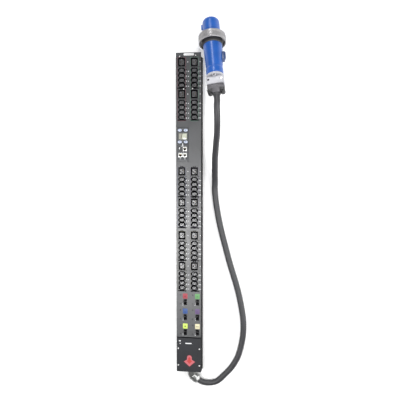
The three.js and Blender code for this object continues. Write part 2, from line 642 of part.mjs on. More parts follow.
function plugSleeve() {
  const inner = SLEEVE.radius - SLEEVE.wall;
  const mouth = inner - SLEEVE.lip;
  const seat = CARRIER.front - OVERRUN;
  const profile = [
    ...roundedNose(mouth), [SLEEVE.radius, SLEEVE.length - 20], [SLEEVE.radius - 1, SLEEVE.length],
    [inner + 1, SLEEVE.length], [inner + 1, seat], [inner, seat],
    [inner, SLEEVE.rounding], [mouth, SLEEVE.lip],
  ];
  const key = box([-SLEEVE.radius - KEYWAY.proud, -SLEEVE.radius + 2], [-KEYWAY.halfWidth, KEYWAY.halfWidth],
    [KEYWAY.start, KEYWAY.end]);
  return join(turned(closedProfile(profile)), key);
}

function plugContactCarrier() {
  const disc = localRod(0, 0, CARRIER.front, CARRIER.rear - CARRIER.front, CARRIER.radius, LATHE_SIDES);
  const pins = [45, 135, 225, 315].map((degrees) => {
    const angle = THREE.MathUtils.degToRad(degrees);
    const x = CARRIER.pinCircle * Math.cos(angle);
    const y = CARRIER.pinCircle * Math.sin(angle);
    return localRod(x, y, CARRIER.pinTip, CARRIER.front + BITE - CARRIER.pinTip, CARRIER.pinRadius, 16);
  });
  return join(disc, pins);
}

function lockingRing() {
  const end = RING.start + RING.length;
  const inner = RING.radius - RING.wall;
  const webBack = end - RING.recess;
  const webFront = webBack - RING.web;
  return turned(closedProfile([
    [RING.radius - 2, RING.start], [RING.radius, RING.start + 3],
    [RING.radius, end - 3], [RING.radius - 2, end],
    [inner + 1.5, end], [inner, webBack], [RING.bore, webBack],
    [RING.bore, webFront], [inner - 3, webFront], [inner, webFront - 3], [inner, RING.start],
  ]), 48);
}

function plugBody() {
  const { start, front, shoulder, rear, collar, end, wall } = PLUG_BODY;
  const bore = SLEEVE.radius + 0.5;
  const shell = turned(closedProfile([
    [front, start], [front, shoulder], [rear, collar - 12], [rear + 1.5, collar - 8],
    [rear + 1.5, end - 4], [rear - 1, end], [CORD_RADIUS + 3, end], [CORD_RADIUS + 3, end - wall],
    [rear - wall, end - wall - 2], [rear - wall, collar - 12],
    [bore - 2, SLEEVE.length + 4], [bore, SLEEVE.length + 1], [bore, start],
  ]));
  const outline = new THREE.Shape(BODY_LUG.map(([x, z]) => new THREE.Vector2(x, z)));
  const tab = new THREE.ExtrudeGeometry(outline, { depth: BODY_LUG_THICKNESS, bevelEnabled: false })
    .translate(0, 0, -BODY_LUG_THICKNESS / 2)
    .rotateX(Math.PI / 2);
  const lug = cut(solid(tab), localRod(0, 0, shoulder, collar - shoulder, rear - wall / 2, LATHE_SIDES));
  return join(shell, lug);
}

// The stretch from `near` to `far` on one side of the middle, lowest value first.
const onSide = (side, near, far) => (side > 0 ? [near, far] : [-far, -near]);

function clampCap() {
  const { start, rim, rimEnd, blockStart, end, halfWidth, halfHeight } = CLAMP_CAP;
  const disc = localRod(0, 0, start, blockStart + BITE - start, rim, LATHE_SIDES);
  const block = box([-halfWidth, halfWidth], [-halfHeight, halfHeight], [blockStart, end]);
  const pockets = [-1, 1].flatMap((across) => [-1, 1].map((up) => box(
    onSide(across, CAP_POCKET.inner, rim + OVERRUN), onSide(up, CAP_POCKET.above, rim + OVERRUN),
    [rimEnd, blockStart])));
  const bore = localRod(0, 0, start - OVERRUN, end - start + 2 * OVERRUN, CORD_RADIUS + 2, BORE_SIDES);
  const screwWells = [-1, 1].map((side) => rod(
    new THREE.Vector3(side * CAP_SCREW.x, halfHeight - CAP_SCREW.depth, CAP_SCREW.z),
    ALONG, CAP_SCREW.depth + OVERRUN, CAP_SCREW.radius, 12));
  return cut(join(disc, block), bore, pockets, screwWells);
}

// Half of the cord clamp, above the cord or below it, with a lug for a bolt on each side.
function clampSaddle(side) {
  const { start, length, width, height, throat, lugStart, lugEnd } = SADDLE;
  const lugMiddle = (lugStart + lugEnd) / 2;
  const inner = side * GAP;
  const outer = side * height;
  const across = [Math.min(inner, outer), Math.max(inner, outer)];
  const body = box([-width / 2, width / 2], across, [start, start + length]);
  const neck = box([-throat, throat], across, [start + length - OVERRUN, lugEnd]);
  const outward = new THREE.Vector3(0, side, 0);
  const lugs = [-1, 1].map((x) => rod(new THREE.Vector3(x * SADDLE_LUG.x, inner, lugMiddle),
    outward, height - GAP - SADDLE_LUG.drop, SADDLE_LUG.radius, 20));
  const bore = localRod(0, 0, start - OVERRUN, lugEnd - start + 2 * OVERRUN,
    CORD_RADIUS + CORD_GAP, BORE_SIDES);
  const boltHoles = [-1, 1].map((x) => rod(new THREE.Vector3(x * SADDLE_LUG.x, -2 * height, lugMiddle),
    ALONG, 4 * height, SADDLE_LUG.boltHole, 12));
  return cut(join(body, neck, lugs), bore, boltHoles);
}

function clampBolt(x) {
  const middle = (SADDLE.lugStart + SADDLE.lugEnd) / 2;
  const { radius, headRadius, headHeight } = CLAMP_BOLT;
  const seat = SADDLE.height - SADDLE_LUG.drop + GAP;
  const shank = rod(new THREE.Vector3(x, -seat - BITE, middle), ALONG, 2 * seat + 2 * BITE, radius, 12);
  const head = rod(new THREE.Vector3(x, seat, middle), ALONG, headHeight, headRadius, 12);
  const nut = rod(new THREE.Vector3(x, -seat - headHeight, middle), ALONG, headHeight, headRadius, 6);
  return join(shank, head, nut);
}

addTo(plug, "plug_sleeve", plugSleeve(), "bluePlastic");
addTo(plug, "plug_contact_carrier", plugContactCarrier(), "blackPlastic");
addTo(plug, "plug_locking_ring", lockingRing(), "greyPlastic");
addTo(plug, "plug_body", plugBody(), "bluePlastic");
addTo(plug, "plug_clamp_flange", clampCap(), "greyPlastic");
addTo(plug, "plug_clamp_upper", clampSaddle(1), "clampMetal");
addTo(plug, "plug_clamp_lower", clampSaddle(-1), "clampMetal");
addTo(plug, "plug_clamp_bolt_1", clampBolt(-SADDLE_LUG.x), "zinc");
addTo(plug, "plug_clamp_bolt_2", clampBolt(SADDLE_LUG.x), "zinc");

// ---------------------------------------------------------------- cord

function powerCord() {
  const start = alongGland(GLAND.arm + GLAND_NUT.length + 2 * GAP);
  const middle = CORD_ROUTE.map(([x, y, z]) => new THREE.Vector3(x, y, z));
  const inPlug = CORD_IN_PLUG.map((distance) => alongPlug(distance));
  const path = new THREE.CatmullRomCurve3([start, ...middle, ...inPlug], false, "centripetal");
  const section = new THREE.Shape(Array.from({ length: CORD_SIDES }, (_, i) => {
    const angle = (i / CORD_SIDES) * 2 * Math.PI;
    return new THREE.Vector2(CORD_RADIUS * Math.cos(angle), CORD_RADIUS * Math.sin(angle));
  }));
  return solid(new THREE.ExtrudeGeometry(section, { steps: CORD_STEPS, extrudePath: path }));
}

add("power_cord", powerCord(), "rubber");

export default strip;
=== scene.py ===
"""The looks of a 0U rack power strip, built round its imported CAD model.

Everything is in metres in the model's frame: X across the strip, Y along it towards the mounting ear,
Z out of the outlet face. The strip lies on its back on the floor, with its cord and plug beside it.
"""

import math

import bmesh
import bpy
from mathutils import Matrix, Vector


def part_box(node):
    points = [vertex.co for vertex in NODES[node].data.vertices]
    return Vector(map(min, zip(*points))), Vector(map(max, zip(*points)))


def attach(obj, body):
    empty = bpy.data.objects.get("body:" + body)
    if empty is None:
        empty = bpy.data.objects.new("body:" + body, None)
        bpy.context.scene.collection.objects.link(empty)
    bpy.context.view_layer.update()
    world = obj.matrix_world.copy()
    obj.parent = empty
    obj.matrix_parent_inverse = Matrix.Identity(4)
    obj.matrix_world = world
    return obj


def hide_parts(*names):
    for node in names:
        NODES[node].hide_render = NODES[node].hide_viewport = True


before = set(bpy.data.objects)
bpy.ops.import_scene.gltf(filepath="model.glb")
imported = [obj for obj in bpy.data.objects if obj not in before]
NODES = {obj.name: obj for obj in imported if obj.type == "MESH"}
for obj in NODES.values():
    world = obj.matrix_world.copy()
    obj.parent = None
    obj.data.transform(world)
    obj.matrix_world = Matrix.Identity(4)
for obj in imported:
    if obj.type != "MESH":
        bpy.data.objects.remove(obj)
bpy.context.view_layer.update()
MM = 0.001

# ------------------------------------------------------------------ places and sizes, millimetres

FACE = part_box("front_panel")[1].z / MM
STRIP_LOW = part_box("end_cover")[0].y / MM
SHEET = 1.5

COLUMN_X = (-29.0, 24.8)
SECTION_Y = (647.0, 189.0, -85.5)
BANK_PITCH = 133.0
LARGE_TO_SMALL = 34.3
SMALL_PITCH = 20.5
SMALL_COUNT = 4
OUTLET_TOP = FACE + 0.6

BREAKER_X = (-15.6, 37.8)
BREAKER_Y = (-365.0, -431.2, -497.4)
TOGGLE_DROP = 12.0

MODULE = {"x": -24.3, "y": 303.0, "width": 48.6, "height": 147.0, "low": FACE + 0.3, "top": FACE + 2.3}
BUTTON_X = (-36.8, -11.4)
BUTTON_Y = (362.8, 313.4)
JACK_X = (-34.6, -15.2)
JACK_Y = 258.0
SERIAL = (-15.2, 283.9)
USB = (-38.6, 286.0)
DISPLAY = {"x": -24.1, "y": 337.3, "width": 38.5, "height": 28.3}

CORD_DIAMETER = 26.0
CORD_ROUTE = (
    (52, -739.3, 21), (70.2, -745, 16.8), (89.3, -745.8, 14), (107.9, -741.7, 13.3), (123.7, -733.6, 13.3),
    (154, -703.5, 13.3), (180.5, -674, 13.3), (199, -645, 13.3), (212.5, -616, 13.3), (226, -565, 13.3),
    (233.3, -511, 13.3), (232.5, -457, 13.3), (225, -405, 13.3), (214.5, -352, 13.3), (201, -300, 13.3),
    (184.8, -247.5, 13.3), (169, -195, 13.3), (155.3, -143, 13.3), (141.5, -91, 13.3), (129, -39, 13.3),
    (119, 13, 13.3), (111, 65, 13.3), (107.3, 115, 14.5), (109, 143, 22), (109.9, 169, 32),
    (112.5, 208, 54), (116.1, 247, 80), (122.2, 284, 109), (128.5, 321, 137), (133.6, 353, 160),
    (136.6, 384, 179), (137.5, 414, 190), (137.2, 437, 195), (136.7, 459, 194.5),
)

GLAND = {"x": 10.0, "z": 27.0, "radius": 20.0, "stub": 22.5, "arm": 20.3, "nut": 15.0, "heading": -38.0,
         "dip": 5.0}
PLUG = {"x": 90.0, "y": 820.8, "z": 27.3, "tilt": 25.0, "yaw": 7.8}
CORD_IN_PLUG = (380.0, 352.0, 300.0, 215.0, 130.0)


# ------------------------------------------------------------------ camera, floor and light

CAMERA = {"place": (0.4285, 0.3014, 2.7), "tilt": 5.0, "pan": -8.164, "sensor": 36.0, "lens": 56.74}


def place_camera():
    """Looks down on the strip from above its right side, turned a little to the left and downwards."""
    tilt, pan = math.radians(CAMERA["tilt"]), math.radians(CAMERA["pan"])
    forward = Vector((math.sin(pan) * math.cos(tilt), -math.sin(tilt), -math.cos(pan) * math.cos(tilt)))
    right = forward.cross(Vector((0, 1, 0))).normalized()
    up = right.cross(forward)
    data = bpy.data.cameras.new("camera")
    data.sensor_width = CAMERA["sensor"]
    data.lens = CAMERA["lens"]
    camera = bpy.data.objects.new("camera", data)
    turn = Matrix((right, up, -forward)).transposed().to_4x4()
    camera.matrix_world = Matrix.Translation(CAMERA["place"]) @ turn
    bpy.context.scene.collection.objects.link(camera)
    bpy.context.scene.camera = camera


def area_light(name, place, target, size, power):
    data = bpy.data.lights.new(name, "AREA")
    data.shape = "RECTANGLE"
    data.size, data.size_y = size
    data.energy = power
    lamp = bpy.data.objects.new(name, data)
    lamp.location = place
    lamp.rotation_euler = (Vector(target) - Vector(place)).to_track_quat("-Z", "Y").to_euler()
    bpy.context.scene.collection.objects.link(lamp)


# Name, place, target, size in metres and power in watts.
LAMPS = (
    ("softbox_low", (-0.42, -0.45, 2.6), (0.0, -0.1, 0.05), (0.8, 0.6), 34),
    ("softbox_high", (0.9, 1.3, 2.2), (0.1, 0.3, 0.05), (1.2, 1.2), 26),
    ("softbox_far", (-0.35, 2.7, 1.5), (0.11, 0.65, 0.1), (0.5, 0.9), 22),
    ("side_left", (-2.9, 0.0, 2.3), (0.0, 0.0, 0.0), (2.6, 3.0), 60),
    ("side_right", (2.9, 0.0, 2.3), (0.2, 0.0, 0.0), (2.6, 3.0), 125),
)


def light_studio():
    bpy.context.scene.view_settings.view_transform = "Standard"
    world = bpy.data.worlds.new("studio")
    world.use_nodes = True
    background = world.node_tree.nodes["Background"]
    background.inputs["Color"].default_value = (1, 1, 1, 1)
    background.inputs["Strength"].default_value = 0.35
    bpy.context.scene.world = world
    for row in LAMPS:
        area_light(*row)


# ------------------------------------------------------------------ materials

class Nodes:
    """A material's node tree, with the few building blocks that the finishes here share."""

    def __init__(self, name):
        self.material = bpy.data.materials.new(name)
        self.material.use_nodes = True
        self.tree = self.material.node_tree
        self.shader = self.tree.nodes["Principled BSDF"]
        self.coords = self.tree.nodes.new("ShaderNodeTexCoord").outputs["Object"]

    def node(self, kind, **values):
        made = self.tree.nodes.new(kind)
        for key, value in values.items():
            setattr(made, key, value)
        return made

    def link(self, out, into):
        self.tree.links.new(out, into)

    def noise(self, scale, detail=3.0, stretch=(1, 1, 1)):
        mapping = self.node("ShaderNodeMapping")
        mapping.inputs["Scale"].default_value = stretch
        self.link(self.coords, mapping.inputs["Vector"])
        made = self.node("ShaderNodeTexNoise")
        made.inputs["Scale"].default_value = scale
        made.inputs["Detail"].default_value = detail
        self.link(mapping.outputs["Vector"], made.inputs["Vector"])
        return made.outputs["Fac"]

    def colour_between(self, fac, dark, light):
        ramp = self.node("ShaderNodeValToRGB")
        ramp.color_ramp.elements[0].position = 0.32
        ramp.color_ramp.elements[1].position = 0.68
        ramp.color_ramp.elements[0].color = (*dark, 1)
        ramp.color_ramp.elements[1].color = (*light, 1)
        self.link(fac, ramp.inputs["Fac"])
        self.link(ramp.outputs["Color"], self.shader.inputs["Base Color"])

    def roughness_between(self, fac, low, high):
        spread = self.node("ShaderNodeMapRange")
        spread.inputs["From Min"].default_value = 0.3
        spread.inputs["From Max"].default_value = 0.7
        spread.inputs["To Min"].default_value = low
        spread.inputs["To Max"].default_value = high
        self.link(fac, spread.inputs["Value"])
        self.link(spread.outputs["Result"], self.shader.inputs["Roughness"])

    def bump(self, fac, height, strength=1.0):
        made = self.node("ShaderNodeBump")
        made.inputs["Strength"].default_value = strength
        made.inputs["Distance"].default_value = height
        self.link(fac, made.inputs["Height"])
        self.link(made.outputs["Normal"], self.shader.inputs["Normal"])


def shade(colour, factor):
    return tuple(min(1.0, channel * factor) for channel in colour)


def finish(name, colour, rough, metal=0.0, grain=900.0, relief=0.00002, vary=0.16, coat=0.0,
           stretch=(1, 1, 1), specular=0.5):
    """A finish with fine grain, broad patches of gloss and a slight change of colour."""
    made = Nodes(name)
    made.shader.inputs["Metallic"].default_value = metal
    made.shader.inputs["Specular IOR Level"].default_value = specular
    if coat:
        made.shader.inputs["Coat Weight"].default_value = coat
        made.shader.inputs["Coat Roughness"].default_value = 0.12
    fine = made.noise(grain, 2.0, stretch)
    broad = made.noise(14.0, 4.0)
    made.colour_between(broad, shade(colour, 1 - vary), shade(colour, 1 + vary))
    made.roughness_between(broad, rough[0], rough[1])
    made.bump(fine, relief)
    return made.material


def make_finishes():
    return {
        "paint": finish("powder_coat", (0.022, 0.023, 0.026), (0.34, 0.42), grain=1500.0, relief=0.00002,
                        specular=0.8),
        # Painted shade: the channel's side walls get a darker, duller copy of the black powder coat, so that
        # they read as in shade.
        "channel": finish("painted_shade_channel_coat", (0.008, 0.008, 0.008), (0.7, 0.8), grain=1500.0, specular=0.04),
        "cover": finish("cover_coat", (0.014, 0.015, 0.018), (0.44, 0.52), grain=1500.0, relief=0.00003,
                        specular=0.3),
        "outlet": finish("outlet_moulding", (0.016, 0.016, 0.018), (0.33, 0.41), grain=1100.0,
                         relief=0.00001, specular=1.0),
        "module": finish("module_moulding", (0.028, 0.03, 0.034), (0.36, 0.46), grain=1300.0, relief=0.00002),
        "black": finish("black_inside", (0.004, 0.004, 0.005), (0.75, 0.85), specular=0.08),
        "core": finish("outlet_core", (0.034, 0.034, 0.038), (0.27, 0.34), grain=1100.0, relief=0.00001,
                       specular=1.0),
        "bright": finish("bright_screws", (0.78, 0.78, 0.77), (0.4, 0.5), metal=0.5, relief=0.000008),
        # Painted reflection: the next two finishes colour a darker band and a dark streak laid on the display
        # glass, where a reflection falls on it.
        "shade": finish("display_painted_reflection", (0.24, 0.235, 0.2), (0.1, 0.16), vary=0.12),
        "reflection_streak": finish("display_painted_reflection_streak", (0.09, 0.08, 0.06), (0.1, 0.16), vary=0.1),
        "sign": finish("key_print", (0.1, 0.11, 0.15), (0.5, 0.6), vary=0.05),
        "breaker": finish("breaker_moulding", (0.008, 0.008, 0.009), (0.6, 0.7), grain=1100.0, specular=0.12),
        "toggle": finish("toggle_moulding", (0.012, 0.012, 0.013), (0.22, 0.3), grain=700.0, relief=0.000008),
        "button": finish("button_keys", (0.36, 0.4, 0.5), (0.24, 0.32), grain=700.0, relief=0.000006,
                         coat=0.3),
        "shell": finish("jack_shell", (0.66, 0.66, 0.64), (0.26, 0.36), metal=0.55, stretch=(1, 12, 1)),
        "zinc": finish("zinc_plate", (0.34, 0.345, 0.34), (0.24, 0.38), metal=1.0, relief=0.00001),
        "steel": finish("screw_steel", (0.62, 0.61, 0.6), (0.18, 0.28), metal=1.0, relief=0.000008),
        "brass": finish("contact_brass", (0.34, 0.25, 0.12), (0.34, 0.44), metal=1.0, relief=0.000006),
        "dark_steel": finish("dark_screws", (0.05, 0.05, 0.052), (0.3, 0.4), metal=0.8, relief=0.000008),
        # Painted shade: the latch's finish is a darker copy of the plug's blue moulding.
        "shaded_latch_blue": finish("latch_painted_shade", (0.018, 0.04, 0.12), (0.3, 0.4), grain=900.0, relief=0.000012),
        "copper": finish("copper_bar", (0.6, 0.27, 0.14), (0.28, 0.4), metal=1.0, stretch=(1, 0.05, 1)),
        "board": finish("circuit_board", (0.02, 0.13, 0.05), (0.34, 0.44), grain=420.0),
        "blue": finish("blue_moulding", (0.009, 0.064, 0.27), (0.27, 0.34), grain=900.0, relief=0.000012,
                       specular=0.4),
        "ring": finish("ring_moulding", (0.23, 0.225, 0.23), (0.27, 0.36), grain=800.0, relief=0.00002,
                       metal=0.4),
        "flange": finish("flange_moulding", (0.32, 0.32, 0.345), (0.3, 0.4), grain=800.0, relief=0.00002),
        "clamp": finish("clamp_casting", (0.075, 0.072, 0.08), (0.36, 0.46), grain=500.0, relief=0.00006,
                        metal=0.2),
        "rubber": finish("cord_sheath", (0.023, 0.023, 0.026), (0.42, 0.52), grain=600.0, relief=0.00003),
        "white": finish("white_print", (0.6, 0.61, 0.62), (0.5, 0.6), vary=0.04, specular=0.1),
        "lamp": finish("clear_lamp", (0.62, 0.63, 0.65), (0.2, 0.3), vary=0.05, coat=0.4),
        "floor": finish("pale_floor", (0.93, 0.93, 0.93), (0.6, 0.7), vary=0.01),
        "glass": finish("display_glass", (0.38, 0.39, 0.32), (0.07, 0.12), grain=300.0, relief=0.000002,
                        vary=0.07, coat=0.8),
    }


def coloured_print(name, colour):
    return finish(name, colour, (0.44, 0.54), grain=1300.0, relief=0.00001, vary=0.08)


# ------------------------------------------------------------------ mesh building

def rounded_box(x, y, width, height, radius, steps=4):
    """An outline that can grow: a rectangle with round corners, anticlockwise."""
    def outline(grow=0.0):
        r = max(radius + grow, 0.02)
        half_w, half_h = width / 2 + grow - r, height / 2 + grow - r
        corners = ((half_w, half_h, 0), (-half_w, half_h, 90), (-half_w, -half_h, 180),
                   (half_w, -half_h, 270))
        points = []
        for cx, cy, start in corners:
            for i in range(steps + 1):
                angle = math.radians(start + 90 * i / steps)
                points.append((x + cx + r * math.cos(angle), y + cy + r * math.sin(angle)))
        return points
    return outline


def polygon(x, y, corners, radius, steps=3):
    """An outline that can grow: a convex polygon with anticlockwise corners and round corners."""
    def outline(grow=0.0):
        r = max(radius + grow, 0.02)
        points = []
        count = len(corners)
        for i in range(count):
            here = Vector(corners[i])
            to_last = (Vector(corners[i - 1]) - here).normalized()
            to_next = (Vector(corners[(i + 1) % count]) - here).normalized()
            half = to_last.angle(to_next) / 2
            inward = (to_last + to_next).normalized()
            centre = here + inward * (radius / math.sin(half))
            first = math.atan2(-to_last.x, to_last.y) + math.pi
            sweep = math.pi - 2 * half
            for k in range(steps + 1):
                angle = first + sweep * k / steps
                points.append((x + centre.x + r * math.cos(angle), y + centre.y + r * math.sin(angle)))
        return points
    return outline


def ellipse(x, y, width, height, steps=32):
    def outline(grow=0.0):
        return [(x + (width / 2 + grow) * math.cos(2 * math.pi * i / steps),
                 y + (height / 2 + grow) * math.sin(2 * math.pi * i / steps)) for i in range(steps)]
    return outline


def loft(bm, loops, cap_first=True, cap_last=True):
    """Skins closed loops of equal length, given as lists of 3-D points in millimetres."""
    rings = [[bm.verts.new(Vector(point) * MM) for point in loop] for loop in loops]
    for lower, upper in zip(rings, rings[1:]):
        count = len(lower)
        for i in range(count):
            j = (i + 1) % count
            bm.faces.new((lower[i], lower[j], upper[j], upper[i]))
    if cap_first:
        bm.faces.new(list(reversed(rings[0])))
    if cap_last:
        bm.faces.new(rings[-1])
    return rings


def at(points, z):
    return [(x, y, z) for x, y in points]


def edge_profile(z_edge, direction, bevel, steps=3):
    """Pairs of inset and height that round an edge over, from the wall to the face."""
    pairs = []
    for i in range(steps + 1):
        angle = math.radians(90 * i / steps)
        pairs.append((bevel * (1 - math.cos(angle)), z_edge - direction * bevel * (1 - math.sin(angle))))
    return pairs


def wall_levels(z0, z1, bevel, low_bevel):
    """Pairs of inset and height up a plate's wall."""
    upper = edge_profile(z1, 1, bevel) if bevel > 0 else [(0.0, z1)]
    lower = list(reversed(edge_profile(z0, -1, low_bevel))) if low_bevel > 0 else [(0.0, z0)]
    return lower + upper


def ring_edges(bm, ring):
    return [bm.edges.get((ring[i], ring[(i + 1) % len(ring)])) for i in range(len(ring))]


def fill_between(bm, rings, up):
    """One flat face with holes, from an outer ring and the rings of its holes."""
    edges = [edge for ring in rings for edge in ring_edges(bm, ring)]
    bmesh.ops.triangle_fill(bm, use_beauty=True, use_dissolve=False, edges=edges,
                            normal=(0, 0, 1 if up else -1))


def plate(bm, outer, z0, z1, bevel=0.0, holes=(), low_bevel=0.0, hole_bevel=None):
    """A flat plate with round upper edges, and holes whose upper edges are round too."""
    hole_bevel = bevel if hole_bevel is None else hole_bevel
    levels = wall_levels(z0, z1, bevel, low_bevel)
    rings = [loft(bm, [at(outer(-inset), z) for inset, z in levels], False, False)]
    for hole in holes:
        hole_levels = wall_levels(z0, z1, hole_bevel, low_bevel)
        rings.append(loft(bm, [at(hole(inset)[::-1], z) for inset, z in hole_levels], False, False))
    for index, up in ((0, False), (-1, True)):
        if holes:
            fill_between(bm, [ring[index] for ring in rings], up)
        else:
            bm.faces.new(rings[0][index][::1 if up else -1])


def lathe(bm, profile, sides=96, closed=False):
    """Turns [radius, height] points about Z. Points on the axis close an end."""
    rings = []
    for radius, z in profile:
        if radius < 1e-6:
            rings.append([bm.verts.new((0, 0, z * MM))])
        else:
            rings.append([bm.verts.new((radius * MM * math.cos(2 * math.pi * i / sides),
                                        radius * MM * math.sin(2 * math.pi * i / sides), z * MM))
                          for i in range(sides)])
    pairs = list(zip(rings, rings[1:]))
    if closed:
        pairs.append((rings[-1], rings[0]))
    for a, b in pairs:
        for i in range(sides):
            j = (i + 1) % sides
            if len(a) == 1:
                bm.faces.new((a[0], b[j], b[i]))
            elif len(b) == 1:
                bm.faces.new((a[i], a[j], b[0]))
            else:
                bm.faces.new((a[i], a[j], b[j], b[i]))


def softened(profile, radius, steps=4, closed=False):
    """The same profile with its corners rounded by up to that radius."""
    points = [Vector(p) for p in profile]
    count = len(points)
    made = []
    for i, here in enumerate(points):
        if not closed and i in (0, count - 1):
            made.append(tuple(here))
            continue
        before, after = points[i - 1] - here, points[(i + 1) % count] - here
        reach = min(radius, before.length * 0.45, after.length * 0.45)
        start, end = here + before.normalized() * reach, here + after.normalized() * reach
        for k in range(steps + 1):
            t = k / steps
            made.append(tuple(start * (1 - t) ** 2 + here * 2 * t * (1 - t) + end * t ** 2))
    return made


def shifted(bm, matrix):
    bmesh.ops.transform(bm, matrix=matrix, verts=bm.verts)
    return bm


def piece(name, bm, look, body="casing", replaces=(), angle=35.0):
    """Turns a bmesh into a piece of the object, with smooth shading up to an angle."""
    bmesh.ops.recalc_face_normals(bm, faces=bm.faces)
    data = bpy.data.meshes.new(name)
    bm.to_mesh(data)
    bm.free()
    obj = bpy.data.objects.new(name, data)
    bpy.context.scene.collection.objects.link(obj)
    data.materials.append(look)
    for face in data.polygons:
        face.use_smooth = True
    data.set_sharp_from_angle(angle=math.radians(angle))
    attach(obj, body)
    if replaces:
        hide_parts(*replaces)
    return obj


def cylinder(bm, x, y, z0, z1, radius, sides=24, bevel=0.0):
    plate(bm, ellipse(x, y, 2 * radius, 2 * radius, sides), z0, z1, bevel)


def between(bm, start, direction, profile, sides=32):
    """A turned shape whose own Z starts at a point and runs along a direction."""
    shape = bmesh.new()
    lathe(shape, profile, sides)
    merge(bm, along_axis(shape, start, direction))


def merge(bm, other):
    """Copies another bmesh in, and frees it."""
    data = bpy.data.meshes.new("scratch")
    other.to_mesh(data)
    other.free()
    bm.from_mesh(data)
    bpy.data.meshes.remove(data)


# ------------------------------------------------------------------ cord

def gland_frame():
    centre = Vector((GLAND["x"], STRIP_LOW - GLAND["stub"], GLAND["z"]))
    heading, dip = math.radians(GLAND["heading"]), math.radians(GLAND["dip"])
    along = Vector((math.cos(heading) * math.cos(dip), math.sin(heading) * math.cos(dip), -math.sin(dip)))
    return centre, along


def plug_matrix():
    """From the plug's own frame, Z from its nose to the cord, to the model's frame, in millimetres."""
    tilt, yaw = math.radians(PLUG["tilt"]), math.radians(PLUG["yaw"])
    axis = Vector((math.sin(yaw) * math.cos(tilt), -math.cos(yaw) * math.cos(tilt), math.sin(tilt)))
    right = Vector((math.cos(yaw), math.sin(yaw), 0))
    up = axis.cross(right)
    turn = Matrix((right, up, axis)).transposed().to_4x4()
    return Matrix.Translation((PLUG["x"], PLUG["y"], PLUG["z"])) @ turn


def smooth_route(points, steps=6):
    """A centripetal Catmull-Rom curve through the points."""
    points = [Vector(p) for p in points]
    padded = [points[0] * 2 - points[1], *points, points[-1] * 2 - points[-2]]
    made = []
    for i in range(1, len(padded) - 2):
        p = padded[i - 1:i + 3]
        t = [0.0]
        for a, b in zip(p, p[1:]):
            t.append(t[-1] + math.sqrt((b - a).length))
        for k in range(steps):
            s = t[1] + (t[2] - t[1]) * k / steps
            a1 = p[0].lerp(p[1], (s - t[0]) / (t[1] - t[0]))
            a2 = p[1].lerp(p[2], (s - t[1]) / (t[2] - t[1]))
            a3 = p[2].lerp(p[3], (s - t[2]) / (t[3] - t[2]))
            b1 = a1.lerp(a2, (s - t[0]) / (t[2] - t[0]))
            b2 = a2.lerp(a3, (s - t[1]) / (t[3] - t[1]))
            made.append(b1.lerp(b2, (s - t[1]) / (t[2] - t[1])))
    return [*made, points[-1]]


def power_cord(looks):
    centre, along = gland_frame()
    start = centre + along * (GLAND["arm"] + GLAND["nut"] + 0.6)
    on_axis = [plug_matrix() @ Vector((0, 0, distance)) for distance in CORD_IN_PLUG]
    route = smooth_route([start, *CORD_ROUTE, *on_axis])
    length = sum((b - a).length for a, b in zip(route, route[1:]))
    curve = bpy.data.curves.new("cord", "CURVE")
    curve.dimensions = "3D"
    curve.bevel_depth = CORD_DIAMETER / 2 * MM
    curve.bevel_resolution = 8
    curve.use_fill_caps = True
    spline = curve.splines.new("POLY")
    spline.points.add(len(route) - 1)
    for knot, place in zip(spline.points, route):
        knot.co = (*(place * MM), 1)
    spline.use_smooth = True
    curve.materials.append(looks["rubber"])
    cord = bpy.data.objects.new("cord", curve)
    bpy.context.scene.collection.objects.link(cord)
    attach(cord, "casing")
    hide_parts("power_cord")
    return cord, start * MM, length * MM


# ------------------------------------------------------------------ casing

def extruded_along_y(bm, outline, y0, y1):
    """An outline of (x, z) points, drawn out along Y."""
    loft(bm, [[(x, y, z) for x, z in outline] for y in (y0, y1)])


def bank_places():
    """Every outlet bank's x and y, in the order of the node names."""
    return [(x, section - row * BANK_PITCH) for section in SECTION_Y for row in (0, 1) for x in COLUMN_X]


def small_rows(bank_y):
    return [bank_y - LARGE_TO_SMALL - i * SMALL_PITCH for i in range(SMALL_COUNT)]


def breaker_places():
    return [(x, y) for y in BREAKER_Y for x in BREAKER_X]


def cut_corner_box(x, y, width, height, chamfer, radius):
    """The outline of a small outlet: its two upper corners are cut off."""
    w, h, c = width / 2, height / 2, chamfer
    corners = [(-w, -h), (w, -h), (w, h - c), (w - c, h), (-w + c, h), (-w, h - c)]
    return polygon(x, y, corners, radius)


def cross(x, y, reach, width):
    """A cross-shaped outline for a screw's recess, anticlockwise."""
    half = width / 2
    arm = [(reach, -half), (reach, half), (half, half)]

    def outline(grow=0.0):
        points = []
        for quarter in range(4):
            c, s = math.cos(quarter * math.pi / 2), math.sin(quarter * math.pi / 2)
            points += [(x + px * c - py * s, y + px * s + py * c) for px, py in arm]
        return points
    return outline


def pan_screw(bm, x, y, z, radius, height):
    """A pan-head screw with a cross recess, standing on a face at height z."""
    plate(bm, ellipse(x, y, 2 * radius, 2 * radius), z + 0.02, z + height, height * 0.8,
          [cross(x, y, radius * 0.55, radius * 0.2)])
    plate(bm, ellipse(x, y, 1.3 * radius, 1.3 * radius, 20), z + 0.01, z + height * 0.3)


PANEL_SCREWS = ((-37, 671), (30.6, 674), (-20.6, 535.4), (17.7, 536.5))
COVER_SCREWS = tuple((x, y) for x in (-46.5, 46.5) for y in (-583.0, -657.5))


def casing_screws(looks):
    for name, places, radius, height in (("panel_screws", PANEL_SCREWS, 2.5, 1.5),
                                         ("cover_screws", COVER_SCREWS, 3.1, 1.8)):
        bm = bmesh.new()
        for x, y in places:
            pan_screw(bm, x, y, FACE, radius, height)
        piece(name, bm, looks["bright"], angle=50)


CASING_LOOKS = {
    "rear_channel": "channel", "front_panel": "paint", "top_end_bracket": "paint",
    "bottom_end_plate": "paint", "end_cover": "cover",
}


